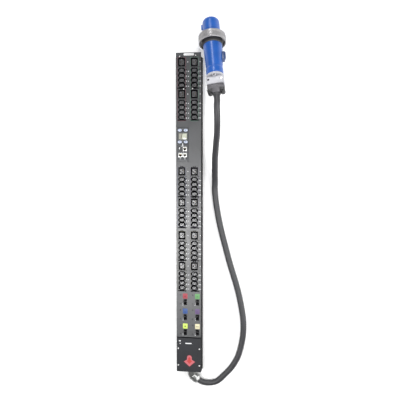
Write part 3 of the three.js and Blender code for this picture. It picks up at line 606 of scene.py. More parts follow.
def dress(node, look, bevel=0.0):
    """Gives a CAD node its finish and, where asked, softly rounded edges."""
    node.data.materials.clear()
    node.data.materials.append(look)
    if bevel:
        modifier = node.modifiers.new("edges", "BEVEL")
        modifier.width = bevel * MM
        modifier.segments = 3
        modifier.limit_method = "ANGLE"
        modifier.angle_limit = math.radians(40)
        modifier.use_clamp_overlap = False
        modifier.harden_normals = True


GROOVE = {"middle": (0, -533.5), "size": (99, 4.4), "low": 4.4, "top": 2.5}


def casing(looks):
    """The sheet metal's finishes, its screws, and a black strip painted as the shadow in the groove above the
    end cover.
    """
    for name, look in CASING_LOOKS.items():
        dress(NODES[name], looks[look], 0.6)
    casing_screws(looks)
    # Painted shadow: a matt black strip on the groove's floor stands in for the shade down in the groove.
    bm = bmesh.new()
    plate(bm, rounded_box(*GROOVE["middle"], *GROOVE["size"], 0.3), FACE - GROOVE["low"],
          FACE - GROOVE["top"])
    piece("groove_painted_shadow", bm, looks["black"])


# ------------------------------------------------------------------ outlets

def small_outline(width, height, chamfer, radius):
    return lambda x, y: cut_corner_box(x, y, width, height, chamfer, radius)


def large_outline(width, height, radius):
    return lambda x, y: rounded_box(x, y, width, height, radius)


SMALL_OUTLET = {
    "boss": small_outline(31, SMALL_PITCH - 0.8, 6.5, 1.0),
    "recess": small_outline(28.6, 18.4, 5.8, 1.4),
    "core": small_outline(19.0, 11.6, 3.6, 1.2),
    "slots": ((0, 2.0), (-5.6, -1.8), (5.6, -1.8)),
    "slot": (2.4, 4.2),
}
LARGE_OUTLET = {
    "boss": large_outline(29.5, 34.5, 1.6),
    "recess": large_outline(27.0, 31.0, 3.2),
    "core": large_outline(18.6, 22.0, 2.2),
    "slots": ((-4.6, 0), (4.2, 5.6), (4.2, -5.6)),
    "slot": (3.0, 7.4),
}
CUP_BASE = 40.0
RECESS_FLOOR = OUTLET_TOP - 15.0
CORE_TOP = OUTLET_TOP - 0.3


def outlet_cup(bm, cores, x, y, kind):
    """A boss with a ring-shaped recess, and a glossier core in it with three contact slots."""
    boss, recess, core = kind["boss"](x, y), kind["recess"](x, y), kind["core"](x, y)
    levels = [(boss, 0, CUP_BASE)]
    levels += [(boss, -inset, z) for inset, z in edge_profile(OUTLET_TOP, 1, 0.25)]
    levels += [(recess, 0.35, OUTLET_TOP), (recess, 0.1, OUTLET_TOP - 0.12), (recess, 0, OUTLET_TOP - 0.4)]
    levels += [(recess, 0, RECESS_FLOOR)]
    loft(bm, [at(outline(grow), z) for outline, grow, z in levels])
    width, height = kind["slot"]
    slots = [rounded_box(x + dx, y + dy, width, height, 0.4, 2) for dx, dy in kind["slots"]]
    plate(cores, core, RECESS_FLOOR + 0.01, CORE_TOP, 0.5, slots, hole_bevel=0.25)


WEB_CORNERS = ((15.3, -9.8), (15.3, -3.6), (8.8, -9.8))


def corner_webs(bm, x, y):
    """The glossy webs that fill the two lower corners of a small outlet's mouth."""
    for side in (-1, 1):
        points = [(x + side * dx, y + dy) for dx, dy in WEB_CORNERS]
        if side < 0:
            points.reverse()
        loft(bm, [at(points, OUTLET_TOP - 3.0), at(points, OUTLET_TOP + 0.05)])


def outlet_bank(number, x, y, looks):
    rows = small_rows(y)
    bm, cores = bmesh.new(), bmesh.new()
    outlet_cup(bm, cores, x, y, LARGE_OUTLET)
    for row in rows:
        outlet_cup(bm, cores, x, row, SMALL_OUTLET)
    low, high = rows[-1] - 13.5, y + 20
    plate(bm, rounded_box(x, (low + high) / 2, 38, high - low, 1.5), 24, CUP_BASE - 0.05, 0.8, low_bevel=0.8)
    piece(f"bank_{number}", bm, looks["black"], replaces=[f"outlet_bank_{number}"])
    piece(f"bank_{number}_cores", cores, looks["core"])
    webs = bmesh.new()
    for row in rows:
        corner_webs(webs, x, row)
    piece(f"bank_{number}_webs", webs, looks["paint"])
    bm = bmesh.new()
    for kind, cy in ((LARGE_OUTLET, y), *((SMALL_OUTLET, row) for row in rows)):
        for dx, dy in kind["slots"]:
            contact(bm, x + dx, cy + dy, *kind["slot"])
    piece(f"bank_{number}_contacts", bm, looks["brass"])


def contact(bm, x, y, width, height):
    """A sprung contact: a channel of thin brass inside its slot."""
    half, wall, low, high = width / 2 - 0.15, 0.35, RECESS_FLOOR + 0.05, CORE_TOP - 8.5
    outline = [(-half, low), (half, low), (half, high), (half - wall, high), (half - wall, low + wall),
               (-half + wall, low + wall), (-half + wall, high), (-half, high)]
    extruded_along_y(bm, [(x + px, z) for px, z in outline], y - height / 2 + 0.4, y + height / 2 - 0.4)


# ------------------------------------------------------------------ print, lamps and labels

PRINT_LOW, PRINT_HIGH = FACE + 0.01, FACE + 0.06


def lettering(bm, text, x, y, z, size, bold=0.12):
    """Plain figures, laid flat on a face."""
    curve = bpy.data.curves.new("figures", "FONT")
    curve.body = text
    curve.size = size * MM
    curve.offset = bold * MM
    curve.extrude = 0.02 * MM
    curve.resolution_u = 3
    curve.align_x = "CENTER"
    curve.align_y = "CENTER"
    obj = bpy.data.objects.new("figures", curve)
    obj.location = (x * MM, y * MM, (z + 0.02) * MM)
    bpy.context.scene.collection.objects.link(obj)
    bpy.context.view_layer.update()
    evaluated = obj.evaluated_get(bpy.context.evaluated_depsgraph_get())
    data = bpy.data.meshes.new_from_object(evaluated)
    data.transform(obj.matrix_world)
    bm.from_mesh(data)
    bpy.data.meshes.remove(data)
    bpy.data.objects.remove(obj)
    bpy.data.curves.remove(curve)


SECTION_COLOURS = (
    ("red", (0.13, 0.02, 0.035)), ("green", (0.08, 0.2, 0.135)),
    ("blue", (0.03, 0.04, 0.1)), ("purple", (0.06, 0.04, 0.09)),
    ("yellow", (0.09, 0.09, 0.04)), ("ivory", (0.11, 0.1, 0.07)),
)
LABEL_COLOURS = {
    "red": (0.25, 0.026, 0.04), "green": (0.08, 0.225, 0.075), "blue": (0.01, 0.052, 0.2),
    "purple": (0.08, 0.046, 0.125), "yellow": (0.42, 0.55, 0.09), "ivory": (0.52, 0.48, 0.31),
}
LABEL_CENTRE = {"red": 0.55, "green": 0.7, "blue": 0.85, "purple": 0.85, "yellow": 0.25, "ivory": 0.5}
SECTION_SPAN = ((667.0, 401.6), (205.0, -48.9), (-67.0, -324.3))
OUTLINE_X = ((-47.6, -11.7), (7.9, 43.1))
LAMP_X = (-2.6, 50.0)
SMALL_LAMP_X = (0.0, 51.3)
FIGURE_X = (-9.2, 45.3)
MARK_DROP = 4.3
LAMP_RADIUS, SMALL_LAMP_RADIUS = 1.9, 1.8
RESET_MARK = {"rise": 3.4, "width": 4.6}
FIGURE = {"size": 5.6, "bold": 0.26}
SEAM_X = (-28.5, 27.4)
UPPER_BAR = {"drop": 20.5, "size": (40.0, 1.8)}
LOWER_BAR = {"drop": 13.0, "size": (37.5, 5.0)}
SHORT_BAR = {"side": 3.8, "rise": 20.4, "size": (5.4, 3.2)}


def section_outlines(prints):
    for section, (high, low) in enumerate(SECTION_SPAN):
        for column, (left, right) in enumerate(OUTLINE_X):
            colour = SECTION_COLOURS[2 * section + column][0]
            middle = ((left + right) / 2, (low + high) / 2)
            outer = rounded_box(*middle, right - left, high - low, 3.5, 6)
            bm = bmesh.new()
            plate(bm, outer, PRINT_LOW, PRINT_HIGH, holes=[lambda grow=0.0, outline=outer: outline(-0.8)])
            piece(f"outline_{colour}", bm, prints[colour])


def outlet_marks(looks):
    """Lamps, reset marks and figures beside the outlets, and dark bars round each bank."""
    for column, side in enumerate(("left", "right")):
        lamps, marks, figures = bmesh.new(), bmesh.new(), bmesh.new()
        number = 0
        for x, y in bank_places():
            if x != COLUMN_X[column]:
                continue
            lamp(lamps, LAMP_X[column], y, LAMP_RADIUS)
            for row in small_rows(y):
                number += 1
                lamp(lamps, SMALL_LAMP_X[column], row - MARK_DROP, SMALL_LAMP_RADIUS)
                mark_y, width = row + RESET_MARK["rise"], RESET_MARK["width"]
                mark = ellipse(FIGURE_X[column], mark_y, width, width, 16)
                plate(marks, mark, PRINT_LOW, PRINT_HIGH)
                lettering(figures, str(number), FIGURE_X[column], row - MARK_DROP, PRINT_LOW,
                          FIGURE["size"], FIGURE["bold"])
        piece(f"lamps_{side}", lamps, looks["lamp"])
        piece(f"reset_marks_{side}", marks, looks["black"])
        piece(f"figures_{side}", figures, looks["white"])
    bm = bmesh.new()
    for x, y in bank_places():
        seam_x = SEAM_X[COLUMN_X.index(x)]
        for row, bar in ((y, UPPER_BAR), (small_rows(y)[-1], LOWER_BAR)):
            plate(bm, rounded_box(seam_x, row - bar["drop"], *bar["size"], 0.3), PRINT_LOW, PRINT_HIGH)
        for side in (-1, 1):
            place = (x + side * SHORT_BAR["side"], y + SHORT_BAR["rise"])
            plate(bm, rounded_box(*place, *SHORT_BAR["size"], 0.6), PRINT_LOW, PRINT_HIGH)
    piece("bank_seams", bm, looks["black"])


def lamp(bm, x, y, radius):
    """A small clear dome."""
    shape = bmesh.new()
    lathe(shape, [(0, 0), (radius, 0), (radius, 0.3), (radius * 0.92, 0.62), (radius * 0.7, 0.9),
                  (radius * 0.38, 1.08), (0, 1.15)], 20)
    merge(bm, shifted(shape, Matrix.Translation((x * MM, y * MM, PRINT_LOW * MM))))


COVER_BAR = (-1.7, -559.6, 27.5, 4.6)
COVER_OVAL = (-39.6, -549.2, 9, 5)
COVER_DOT = (-38, -561, 4.4, 4.4)


def cover_prints(looks, prints):
    """A white bar label, two small marks and a red arrow that points to the cord."""
    bm = bmesh.new()
    plate(bm, rounded_box(*COVER_BAR, 1.0), PRINT_LOW, PRINT_HIGH + 0.06, 0.03)
    plate(bm, rounded_box(*COVER_OVAL, 2.2), PRINT_LOW, PRINT_HIGH)
    plate(bm, ellipse(*COVER_DOT), PRINT_LOW, PRINT_HIGH)
    piece("cover_label", bm, looks["white"])
    stem_half, head_half, stem_top, head_top, shoulder, tip = 10.4, 24.4, -612.5, -632.0, -640.5, -662.0
    middle = 2.6
    points = [(stem_half * math.cos(a), stem_top - stem_half + stem_half * math.sin(a))
              for a in (math.radians(15 * i) for i in range(13))]
    points += [(-stem_half, head_top), (-head_half, shoulder), (0, tip), (head_half, shoulder),
               (stem_half, head_top)]
    arrow = [(middle + x, y) for x, y in points]
    rim = [(middle + (x - middle) * 1.08, -638 + (y + 638) * 1.08) for x, y in arrow]
    bm = bmesh.new()
    loft(bm, [at(rim, PRINT_LOW), at(rim, PRINT_HIGH + 0.06)])
    piece("arrow_rim", bm, prints["arrow_rim"])
    bm = bmesh.new()
    loft(bm, [at(arrow, PRINT_HIGH + 0.061), at(arrow, PRINT_HIGH + 0.08)])
    piece("arrow_sticker", bm, prints["arrow"])
    inner = [(middle + x * 0.5, -634 + (y + 634) * 0.62) for x, y in points]
    bm = bmesh.new()
    loft(bm, [at(inner, PRINT_HIGH + 0.09), at(inner, PRINT_HIGH + 0.14)])
    piece("arrow_middle", bm, prints["arrow_middle"])


# ------------------------------------------------------------------ control module

JACK = {"size": 17.0, "top": FACE + 2.9, "bottom": 36.0, "mouth": (12.6, 7.6), "raise": 0.2,
        "tongue": (6.4, 3.4)}
PORT = {"width": 8.0, "height": 17.0, "top": FACE + 2.7, "mouth": (2.8, 9.0), "depth": 9.0}
BUTTON = {"width": 17.4, "height": 11.8, "top": FACE + 4.3, "low": 54.0, "stem_low": 37.6}
SIGN_TURNS = (0, 2, 1, 3)


def button_places():
    return [(x, y) for y in BUTTON_Y for x in BUTTON_X]


def control_faceplate(looks):
    jack_middle = sum(JACK_X) / 2
    jack_hole = JACK["size"] + 0.6
    holes = [rounded_box(DISPLAY["x"], DISPLAY["y"], DISPLAY["width"], DISPLAY["height"], 1.2)]
    holes += [ellipse(x, y, BUTTON["width"] + 0.8, BUTTON["height"] + 0.8, 48) for x, y in button_places()]
    holes.append(rounded_box(jack_middle, JACK_Y, JACK_X[1] - JACK_X[0] + jack_hole, jack_hole, 0.8))
    holes.append(rounded_box(*SERIAL, jack_hole, jack_hole, 0.8))
    holes.append(rounded_box(*USB, PORT["width"] + 0.6, PORT["height"] + 0.6, 0.6))
    bm = bmesh.new()
    outer = rounded_box(MODULE["x"], MODULE["y"], MODULE["width"], MODULE["height"], 1.6)
    plate(bm, outer, MODULE["low"], MODULE["top"], 0.7, holes, hole_bevel=0.35)
    for end in (-1, 1):
        y = MODULE["y"] + end * 69.0
        plate(bm, rounded_box(MODULE["x"], y, 43.6, 3.6, 0.8), FACE - 9, MODULE["low"] + 0.1, low_bevel=0.5)
    piece("module_faceplate", bm, looks["module"], replaces=["control_faceplate"])


def display(looks):
    bm = bmesh.new()
    x, y, width, height = (DISPLAY[key] for key in ("x", "y", "width", "height"))
    plate(bm, rounded_box(x, y, width - 0.6, height - 0.6, 1.0), FACE - 1, MODULE["top"] - 0.5, 0.3)
    piece("display_lens", bm, looks["glass"], replaces=["display_module"])
    bm = bmesh.new()
    outer = rounded_box(x, y, width - 1.4, height - 1.4, 0.8)
    plate(bm, outer, MODULE["top"] - 0.49, MODULE["top"] - 0.4, 0.03, [lambda grow=0.0: outer(-1.5)])
    piece("display_border", bm, looks["module"])
    # Painted reflection: a darker band over the left of the display stands in for a reflection on its glass.
    bm = bmesh.new()
    reflection_low, reflection_high = MODULE["top"] - 0.48, MODULE["top"] - 0.44
    left, low, high = x - width / 2 + 1.8, y - height / 2 + 1.8, y + height / 2 - 1.8
    reflection_band = [(left, low), (left + 9.5, low), (left + 17.0, high), (left, high)]
    loft(bm, [at(reflection_band, z) for z in (reflection_low, reflection_high)])
    piece("display_painted_reflection", bm, looks["shade"])
    # Painted reflection: a dark diagonal streak across the display, part of the same reflection.
    reflection_streak = [(left + 8.6, low + 1.6), (left + 12.0, low + 1.6), (left + 16.2, high), (left + 14.0, high)]
    bm = bmesh.new()
    loft(bm, [at(reflection_streak, z) for z in (reflection_high + 0.005, reflection_high + 0.03)])
    piece("display_painted_reflection_streak", bm, looks["reflection_streak"])
    bm = bmesh.new()
    plate(bm, rounded_box(x, y, 34, 25, 0.6), 45.0, FACE - 0.6)
    piece("display_body", bm, looks["black"])


def arrow_head(x, y, size, turn):
    """A triangle that points up, turned by quarter turns."""
    points = [(-size, -size * 0.7), (size, -size * 0.7), (0, size * 0.9)]
    c, s = math.cos(turn * math.pi / 2), math.sin(turn * math.pi / 2)
    return [(x + px * c - py * s, y + px * s + py * c) for px, py in points]


def menu_buttons(looks):
    for number, (x, y) in enumerate(button_places(), 1):
        bm = bmesh.new()
        outline = ellipse(x, y, BUTTON["width"], BUTTON["height"], 48)
        levels = [(0, BUTTON["low"]), (0, BUTTON["top"] - 1.6), (-0.35, BUTTON["top"] - 0.9),
                  (-1.1, BUTTON["top"] - 0.4), (-2.4, BUTTON["top"] - 0.12), (-3.8, BUTTON["top"])]
        loft(bm, [at(outline(grow), z) for grow, z in levels])
        cylinder(bm, x, y, BUTTON["stem_low"], BUTTON["low"] + 0.5, 3.0)
        body = f"button_{number}"
        piece(f"button_key_{number}", bm, looks["button"], body, [f"menu_button_{number}"])
        bm = bmesh.new()
        sign = arrow_head(x, y, 3.4, SIGN_TURNS[number - 1])
        loft(bm, [at(sign, BUTTON["top"] + rise) for rise in (0.01, 0.05)])
        piece(f"button_sign_{number}", bm, looks["sign"], body)


def jack_mouth(x, y):
    """The outline of a modular jack's mouth, anticlockwise, with a notch below for its latch."""
    half_w, half_h = JACK["mouth"][0] / 2, JACK["mouth"][1] / 2
    notch, drop = JACK["tongue"][0] / 2, JACK["tongue"][1]
    points = [(-half_w, half_h), (-half_w, -half_h), (-notch, -half_h), (-notch, -half_h - drop),
              (notch, -half_h - drop), (notch, -half_h), (half_w, -half_h), (half_w, half_h)]
    return lambda grow=0.0: [(x + px, y + JACK["raise"] + py) for px, py in points]


def jack(bm, lining, contacts, x, y):
    """A shell round a mouth, a dark lining inside it and eight sprung wires."""
    outer = rounded_box(x, y, JACK["size"], JACK["size"], 0.8)
    plate(bm, outer, JACK["bottom"], JACK["top"], 0.35, [jack_mouth(x, y)], hole_bevel=0.2)
    floor = JACK["top"] - 12.0
    mouth = jack_mouth(x, y)()
    middle_y = y + JACK["raise"]
    sleeve = [[(x + (px - x) * k, middle_y + (py - middle_y) * k) for px, py in mouth] for k in (0.99, 0.93)]
    plate(lining, lambda grow=0.0: sleeve[0], floor, JACK["top"] - 0.3, holes=[lambda grow=0.0: sleeve[1]])
    half_w, half_h = JACK["mouth"][0] / 2 + 0.6, JACK["mouth"][1] / 2 + 0.6
    plate(lining, rounded_box(x, y + JACK["raise"] - 1, 2 * half_w, 2 * half_h + 2.6, 0.3), floor - 1, floor)
    for i in range(8):
        wire_x = x + (i - 3.5) * 1.02
        plate(contacts, rounded_box(wire_x, y + 2.2, 0.45, 4.2, 0.1, 1), floor, floor + 2.5, 0.15)


def jacks(looks):
    shell, lining, contacts = bmesh.new(), bmesh.new(), bmesh.new()
    for x in JACK_X:
        jack(shell, lining, contacts, x, JACK_Y)
    piece("network_jacks", shell, looks["shell"], replaces=["network_jack_pair"])
    serial = bmesh.new()
    jack(serial, lining, contacts, *SERIAL)
    piece("serial_socket", serial, looks["shell"], replaces=["serial_jack"])
    piece("jack_linings", lining, looks["black"])
    piece("jack_wires", contacts, looks["brass"])
    bm = bmesh.new()
    x, y = USB
    outer = rounded_box(x, y, PORT["width"], PORT["height"], 0.7)
    mouth = rounded_box(x, y, *PORT["mouth"], 0.3)
    plate(bm, outer, JACK["bottom"], PORT["top"], 0.3, [mouth], hole_bevel=0.15)
    piece("port_shell", bm, looks["dark_steel"], replaces=["usb_port"])
    bm = bmesh.new()
    floor = PORT["top"] - PORT["depth"]
    plate(bm, rounded_box(x, y, PORT["mouth"][0] + 1, PORT["mouth"][1] + 1, 0.3), floor - 1, floor)
    plate(bm, rounded_box(x - 0.3, y, 1.0, PORT["mouth"][1] - 1.6, 0.1), floor, PORT["top"] - 1.2, 0.1)
    piece("port_tongue", bm, looks["black"])


def module_marks(looks):
    low, high = MODULE["top"] + 0.01, MODULE["top"] + 0.06
    bm = bmesh.new()
    slant = [(-24.9, 308.5), (-26.4, 306.0), (-24.8, 293.0), (-22.4, 291.5), (-23.0, 307.0)]
    loft(bm, [at(slant, z) for z in (low, high)])
    for x in JACK_X:
        plate(bm, rounded_box(x, 246.6, 8, 1.6, 0.4), low, high)
        plate(bm, rounded_box(x, 241.8, 5, 1.4, 0.4), low, high)
    port_top = PORT["top"] + 0.01
    plate(bm, rounded_box(USB[0] + 0.4, USB[1] + 0.6, 3.6, 8.0, 0.8), port_top, port_top + 0.05)
    piece("module_prints", bm, looks["white"])
    bm = bmesh.new()
    for dx, y in ((-4.6, 269.4), (4.6, 269.4)):
        for x in JACK_X:
            plate(bm, ellipse(x + dx, y, 2.4, 1.8, 16), low, high + 0.35, 0.25)
    plate(bm, ellipse(-30.2, 296, 2.8, 2.8, 20), low, high + 0.5, 0.3)
    piece("module_lamps", bm, looks["lamp"])


def control_module(looks):
    control_faceplate(looks)
    display(looks)
    menu_buttons(looks)
    jacks(looks)
    module_marks(looks)


# ------------------------------------------------------------------ breakers

COLLAR = {"width": 14.0, "height": 25.0, "mouth": (9.8, 17.0), "top": FACE + 1.2}
BREAKER = {"offset": 10.2, "width": 39.4, "height": 62.0}
TOGGLE = {"pivot": 48.0, "hub": 5.8, "width": 8.4, "lean": 20.0, "reach": 22.6}
LABEL = {"rise": 14.8, "size": (20.5, 22.5)}
LABEL_PATCH = {"rise": 13.6, "size": (6.4, 6.0), "ivory_size": (14.0, 4.0)}
SWITCH_SIGN = {"left": 9.6, "bar_drop": 6.5, "ring_drop": 12.8}
POLE_SCREW = {"x": (-36.5, 16.6), "spread": 19.2, "radius": 2.7, "height": 1.2}


def breaker_body(number, x, y, looks):
    toggle_y = y - TOGGLE_DROP
    low, top = TOGGLE["pivot"] - TOGGLE["hub"] - 1.2, FACE - SHEET - 0.3
    bm = bmesh.new()
    mouth = rounded_box(x, toggle_y, *COLLAR["mouth"], 1.0)
    body = rounded_box(x - BREAKER["offset"], y, BREAKER["width"], BREAKER["height"], 1.2)
    plate(bm, body, low, top, 0.5, [mouth], hole_bevel=0)
    collar = rounded_box(x, toggle_y, COLLAR["width"], COLLAR["height"], 1.4)
    plate(bm, collar, top - 0.3, COLLAR["top"], 0.45, [mouth], hole_bevel=0.4)
    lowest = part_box(f"breaker_body_{number}")[0].z / MM
    plate(bm, body, lowest, low - 0.02, low_bevel=0.8)
    piece(f"breaker_case_{number}", bm, looks["breaker"], replaces=[f"breaker_body_{number}"])


def breaker_lever(number, x, y, looks):
    """A hub in the breaker and a lever that tapers to a round tip."""
    bm = bmesh.new()
    hub, half = TOGGLE["hub"], TOGGLE["width"] / 2
    lathe(bm, [(0, -half), (hub, -half), (hub, half), (0, half)], 40)
    shifted(bm, Matrix.Rotation(math.radians(90), 4, "Y"))
    lever = bmesh.new()
    reach = TOGGLE["reach"]
    levels = [(6.6, 5.0, 3.0), (6.6, 5.0, 9.0), (6.2, 4.4, 15.0), (6.4, 3.9, reach - 2.4),
              (6.2, 3.5, reach - 1.0), (5.4, 2.7, reach - 0.25), (4.2, 1.5, reach)]
    loft(lever, [at(rounded_box(0, 0, w, h, min(w, h) * 0.42)(), z) for w, h, z in levels])
    merge(bm, shifted(lever, Matrix.Rotation(math.radians(-TOGGLE["lean"]), 4, "X")))
    shifted(bm, Matrix.Translation((x * MM, (y - TOGGLE_DROP) * MM, TOGGLE["pivot"] * MM)))
    piece(f"toggle_lever_{number}", bm, looks["toggle"], f"toggle_{number}", [f"breaker_toggle_{number}"])


def breaker_labels(prints, looks):
    marks = bmesh.new()
    for number, (x, y) in enumerate(breaker_places()):
        colour = SECTION_COLOURS[number][0]
        bm = bmesh.new()
        plate(bm, rounded_box(x, y + LABEL["rise"], *LABEL["size"], 1.6), PRINT_LOW, PRINT_HIGH + 0.06, 0.03)
        piece(f"breaker_label_{colour}", bm, prints[f"label_{colour}"])
        bm = bmesh.new()
        patch = rounded_box(x, y + LABEL_PATCH["rise"],
                            *LABEL_PATCH["ivory_size" if colour == "ivory" else "size"], 1.2)
        plate(bm, patch, PRINT_HIGH + 0.07, PRINT_HIGH + 0.12)
        piece(f"breaker_label_{colour}_centre", bm, prints[f"centre_{colour}"])
        left, toggle_y = x - SWITCH_SIGN["left"], y - TOGGLE_DROP
        bar = rounded_box(left, toggle_y - SWITCH_SIGN["bar_drop"], 1.1, 4.6, 0.3)
        plate(marks, bar, PRINT_LOW, PRINT_HIGH)
        ring_y = toggle_y - SWITCH_SIGN["ring_drop"]
        ring, hole = (ellipse(left, ring_y, width, width, 20) for width in (4.2, 2.6))
        plate(marks, ring, PRINT_LOW, PRINT_HIGH, holes=[hole])
    piece("breaker_signs", marks, looks["white"])


def pole_screws(looks):
    bm = bmesh.new()
    for x in POLE_SCREW["x"]:
        for y in BREAKER_Y:
            for side in (-1, 1):
                place = (x, y + side * POLE_SCREW["spread"])
                pan_screw(bm, *place, FACE, POLE_SCREW["radius"], POLE_SCREW["height"])
    piece("pole_screws", bm, looks["dark_steel"], angle=50)


def breakers(looks, prints):
    for number, (x, y) in enumerate(breaker_places(), 1):
        breaker_body(number, x, y, looks)
        breaker_lever(number, x, y, looks)
    breaker_labels(prints, looks)
    pole_screws(looks)


# ------------------------------------------------------------------ cord gland

def nut_outline(radius, sides=6):
    """A polygon whose corners lie on a circle, as an outline that can grow."""
    corners = [(radius * math.cos(2 * math.pi * i / sides), radius * math.sin(2 * math.pi * i / sides))
               for i in range(sides)]
    return polygon(0, 0, corners, 1.2)


def along_axis(bm, start, direction):
    """Moves a shape from its own Z axis to a line in the model."""
    turn = Vector((0, 0, 1)).rotation_difference(Vector(direction)).to_matrix().to_4x4()
    return shifted(bm, Matrix.Translation(Vector(start) * MM) @ turn)


def swept_elbow(bm, centre, along):
    """The gland's bent body: a round section carried round the corner, with a bead at each end."""
    inward = Vector((0, -1, 0))
    radius = GLAND["radius"]
    stations = [(centre - inward * (GLAND["stub"] - 0.3), inward, radius)]
    stations.append((centre - inward * 5.0, inward, radius))
    turns = 10
    for i in range(1, turns):
        direction = inward.lerp(along, i / turns).normalized()
        bulge = 1 - 0.03 * math.sin(math.pi * i / turns)
        bend = centre + (along * (i / turns) - inward * (1 - i / turns)) * 5.0
        stations.append((bend, direction, radius * bulge))
    stations.append((centre + along * 5.0, along, radius))
    stations.append((centre + along * (GLAND["arm"] - 2.5), along, radius))
    stations.append((centre + along * (GLAND["arm"] - 2.3), along, radius + 0.9))
    stations.append((centre + along * GLAND["arm"], along, radius + 0.9))
    loops = []
    for place, direction, size in stations:
        side = direction.cross(Vector((0, 0, 1))).normalized()
        up = side.cross(direction)
        loops.append([place + (side * math.cos(a) + up * math.sin(a)) * size
                      for a in (2 * math.pi * k / 64 for k in range(64))])
    loft(bm, loops)


def gland(looks):
    centre, along = gland_frame()
    bm = bmesh.new()
    swept_elbow(bm, centre, along)
    flange = bmesh.new()
    plate(flange, nut_outline(23.8), 0.3, 5.3, 0.8, low_bevel=0.4)
    merge(bm, along_axis(flange, (GLAND["x"], STRIP_LOW, GLAND["z"]), (0, -1, 0)))
    piece("gland_elbow", bm, looks["zinc"], replaces=["gland_body"], angle=30)
    bm = bmesh.new()
    outline = nut_outline(21.8, 8)
    levels = [(-1.2, 0.3), (0, 1.4), (0, 3.0), (-0.5, 3.4), (-0.5, 4.2), (0, 4.6), (0, 9.0), (-1.6, 10.6)]
    loft(bm, [at(outline(grow), z) for grow, z in levels])
    along_axis(bm, centre + along * GLAND["arm"], along)
    collar = [(13.4, 9.5), (17.6, 9.5), (17.6, 12.6), (16.9, 14.2), (15.2, 15.0), (13.4, 15.0)]
    between(bm, centre + along * GLAND["arm"], along, softened(collar, 0.6), 64)
    piece("gland_ring_nut", bm, looks["zinc"], replaces=["gland_nut"], angle=30)
    bm = bmesh.new()
    seal = [(13.05, 13.0), (15.0, 13.0), (14.4, 15.6), (13.4, 17.4), (13.05, 17.6)]
    between(bm, centre + along * GLAND["arm"], along, softened(seal, 0.5), 64)
    piece("gland_seal", bm, looks["rubber"])


# ------------------------------------------------------------------ plug

def on_plug(bm):
    """Moves a shape from the plug's own frame to the model's."""
    matrix = plug_matrix()
    matrix.translation *= MM
    return shifted(bm, matrix)


def turned(profile, sides=128, radius=0.8):
    """A closed turned shape along the plug's axis, with soft edges."""
    bm = bmesh.new()
    lathe(bm, softened(profile, radius, 4, True), sides, True)
    return bm


SLEEVE = {"radius": 35.5, "mouth": 24.5, "dome": 18.0, "inner": 31.0, "end": 112.6}
KEY = {"start": 18.0, "end": 42.0, "half_width": 4.4, "proud": 6.4}
RING = {"radius": 57.0, "front": 79.0, "end": 116.3, "web_bore": 41.2, "ribs": 36}
HOUSING = {"front": 97.2, "shoulder": 125.0, "waist": 238.0, "end": 269.9, "radius": 39.6,
           "waist_radius": 33.6}
LATCH = ((30, 164), (45, 164), (50, 169), (50, 192), (44, 207), (30, 211))
CAP = {"start": 270.5, "rim": 35.9, "rim_end": 278.4, "block": 286.0, "end": 316.1, "width": 71.0,
       "height": 50.0}
SADDLE = {"start": 316.6, "length": 18.0, "width": 68.0, "height": 20.0, "lugs": 341.5, "lug_x": 25.5,
          "lug_radius": 10.5}


def plug_sleeve(looks):
    """The nose: a domed shroud with a short key on its side and a stop bead."""
    outer, mouth, dome, inner = (SLEEVE[key] for key in ("radius", "mouth", "dome", "inner"))
    nose = [(mouth + (outer - mouth) * math.sin(a), dome * (1 - math.cos(a)))
            for a in (math.radians(9 * i) for i in range(11))]
    profile = [(mouth + 0.3, 1.5)] + nose[1:]
    profile += [(outer, 52.0), (outer + 0.35, 52.6), (outer + 0.35, 54.0), (outer, 54.6), (outer, 90.0),
                (34.6, SLEEVE["end"]), (inner, SLEEVE["end"]), (inner, dome), (mouth + 0.2, 7.0)]
    bm = bmesh.new()
    lathe(bm, profile, 128, True)
    half, proud = KEY["half_width"], KEY["proud"]
    section = [(2.0, -half), (-proud + 1, -half), (-proud, -half + 1), (-proud, half - 1), (-proud + 1, half),
               (2.0, half)]
    stations = [(KEY["start"], 0.7), (KEY["start"] + 1.6, 1.0), (KEY["end"] - 1.6, 1.0), (KEY["end"], 0.7)]
    loft(bm, [[(-outer + x * size, y * size, z) for x, y in section] for z, size in stations])
    piece("plug_shroud", on_plug(bm), looks["blue"], replaces=["plug_sleeve"], angle=30)


def plug_contacts(looks):
    front, rear, tip, circle = 59.0, 112.0, 22.0, 17.0
    bm = bmesh.new()
    lathe(bm, softened([(0, front), (30.6, front), (30.6, rear), (0, rear)], 0.8), 96)
    lathe(bm, [(26.0, front - 1.4), (27.2, front - 1.8), (28.2, front - 1.4), (28.2, front + 0.5),
               (26.0, front + 0.5)], 96, True)
    piece("plug_insert", on_plug(bm), looks["blue"], replaces=["plug_contact_carrier"])
    bm = bmesh.new()
    for degrees in (45, 135, 225, 315):
        pin = bmesh.new()
        lathe(pin, [(0, tip), (1.6, tip + 0.3), (3.2, tip + 1.6), (4.2, tip + 4), (4.2, front + 1),
                    (0, front + 1)], 32)
        angle = math.radians(degrees)
        place = (circle * MM * math.cos(angle), circle * MM * math.sin(angle), 0)
        merge(bm, shifted(pin, Matrix.Translation(place)))
    piece("plug_pins", on_plug(bm), looks["brass"])


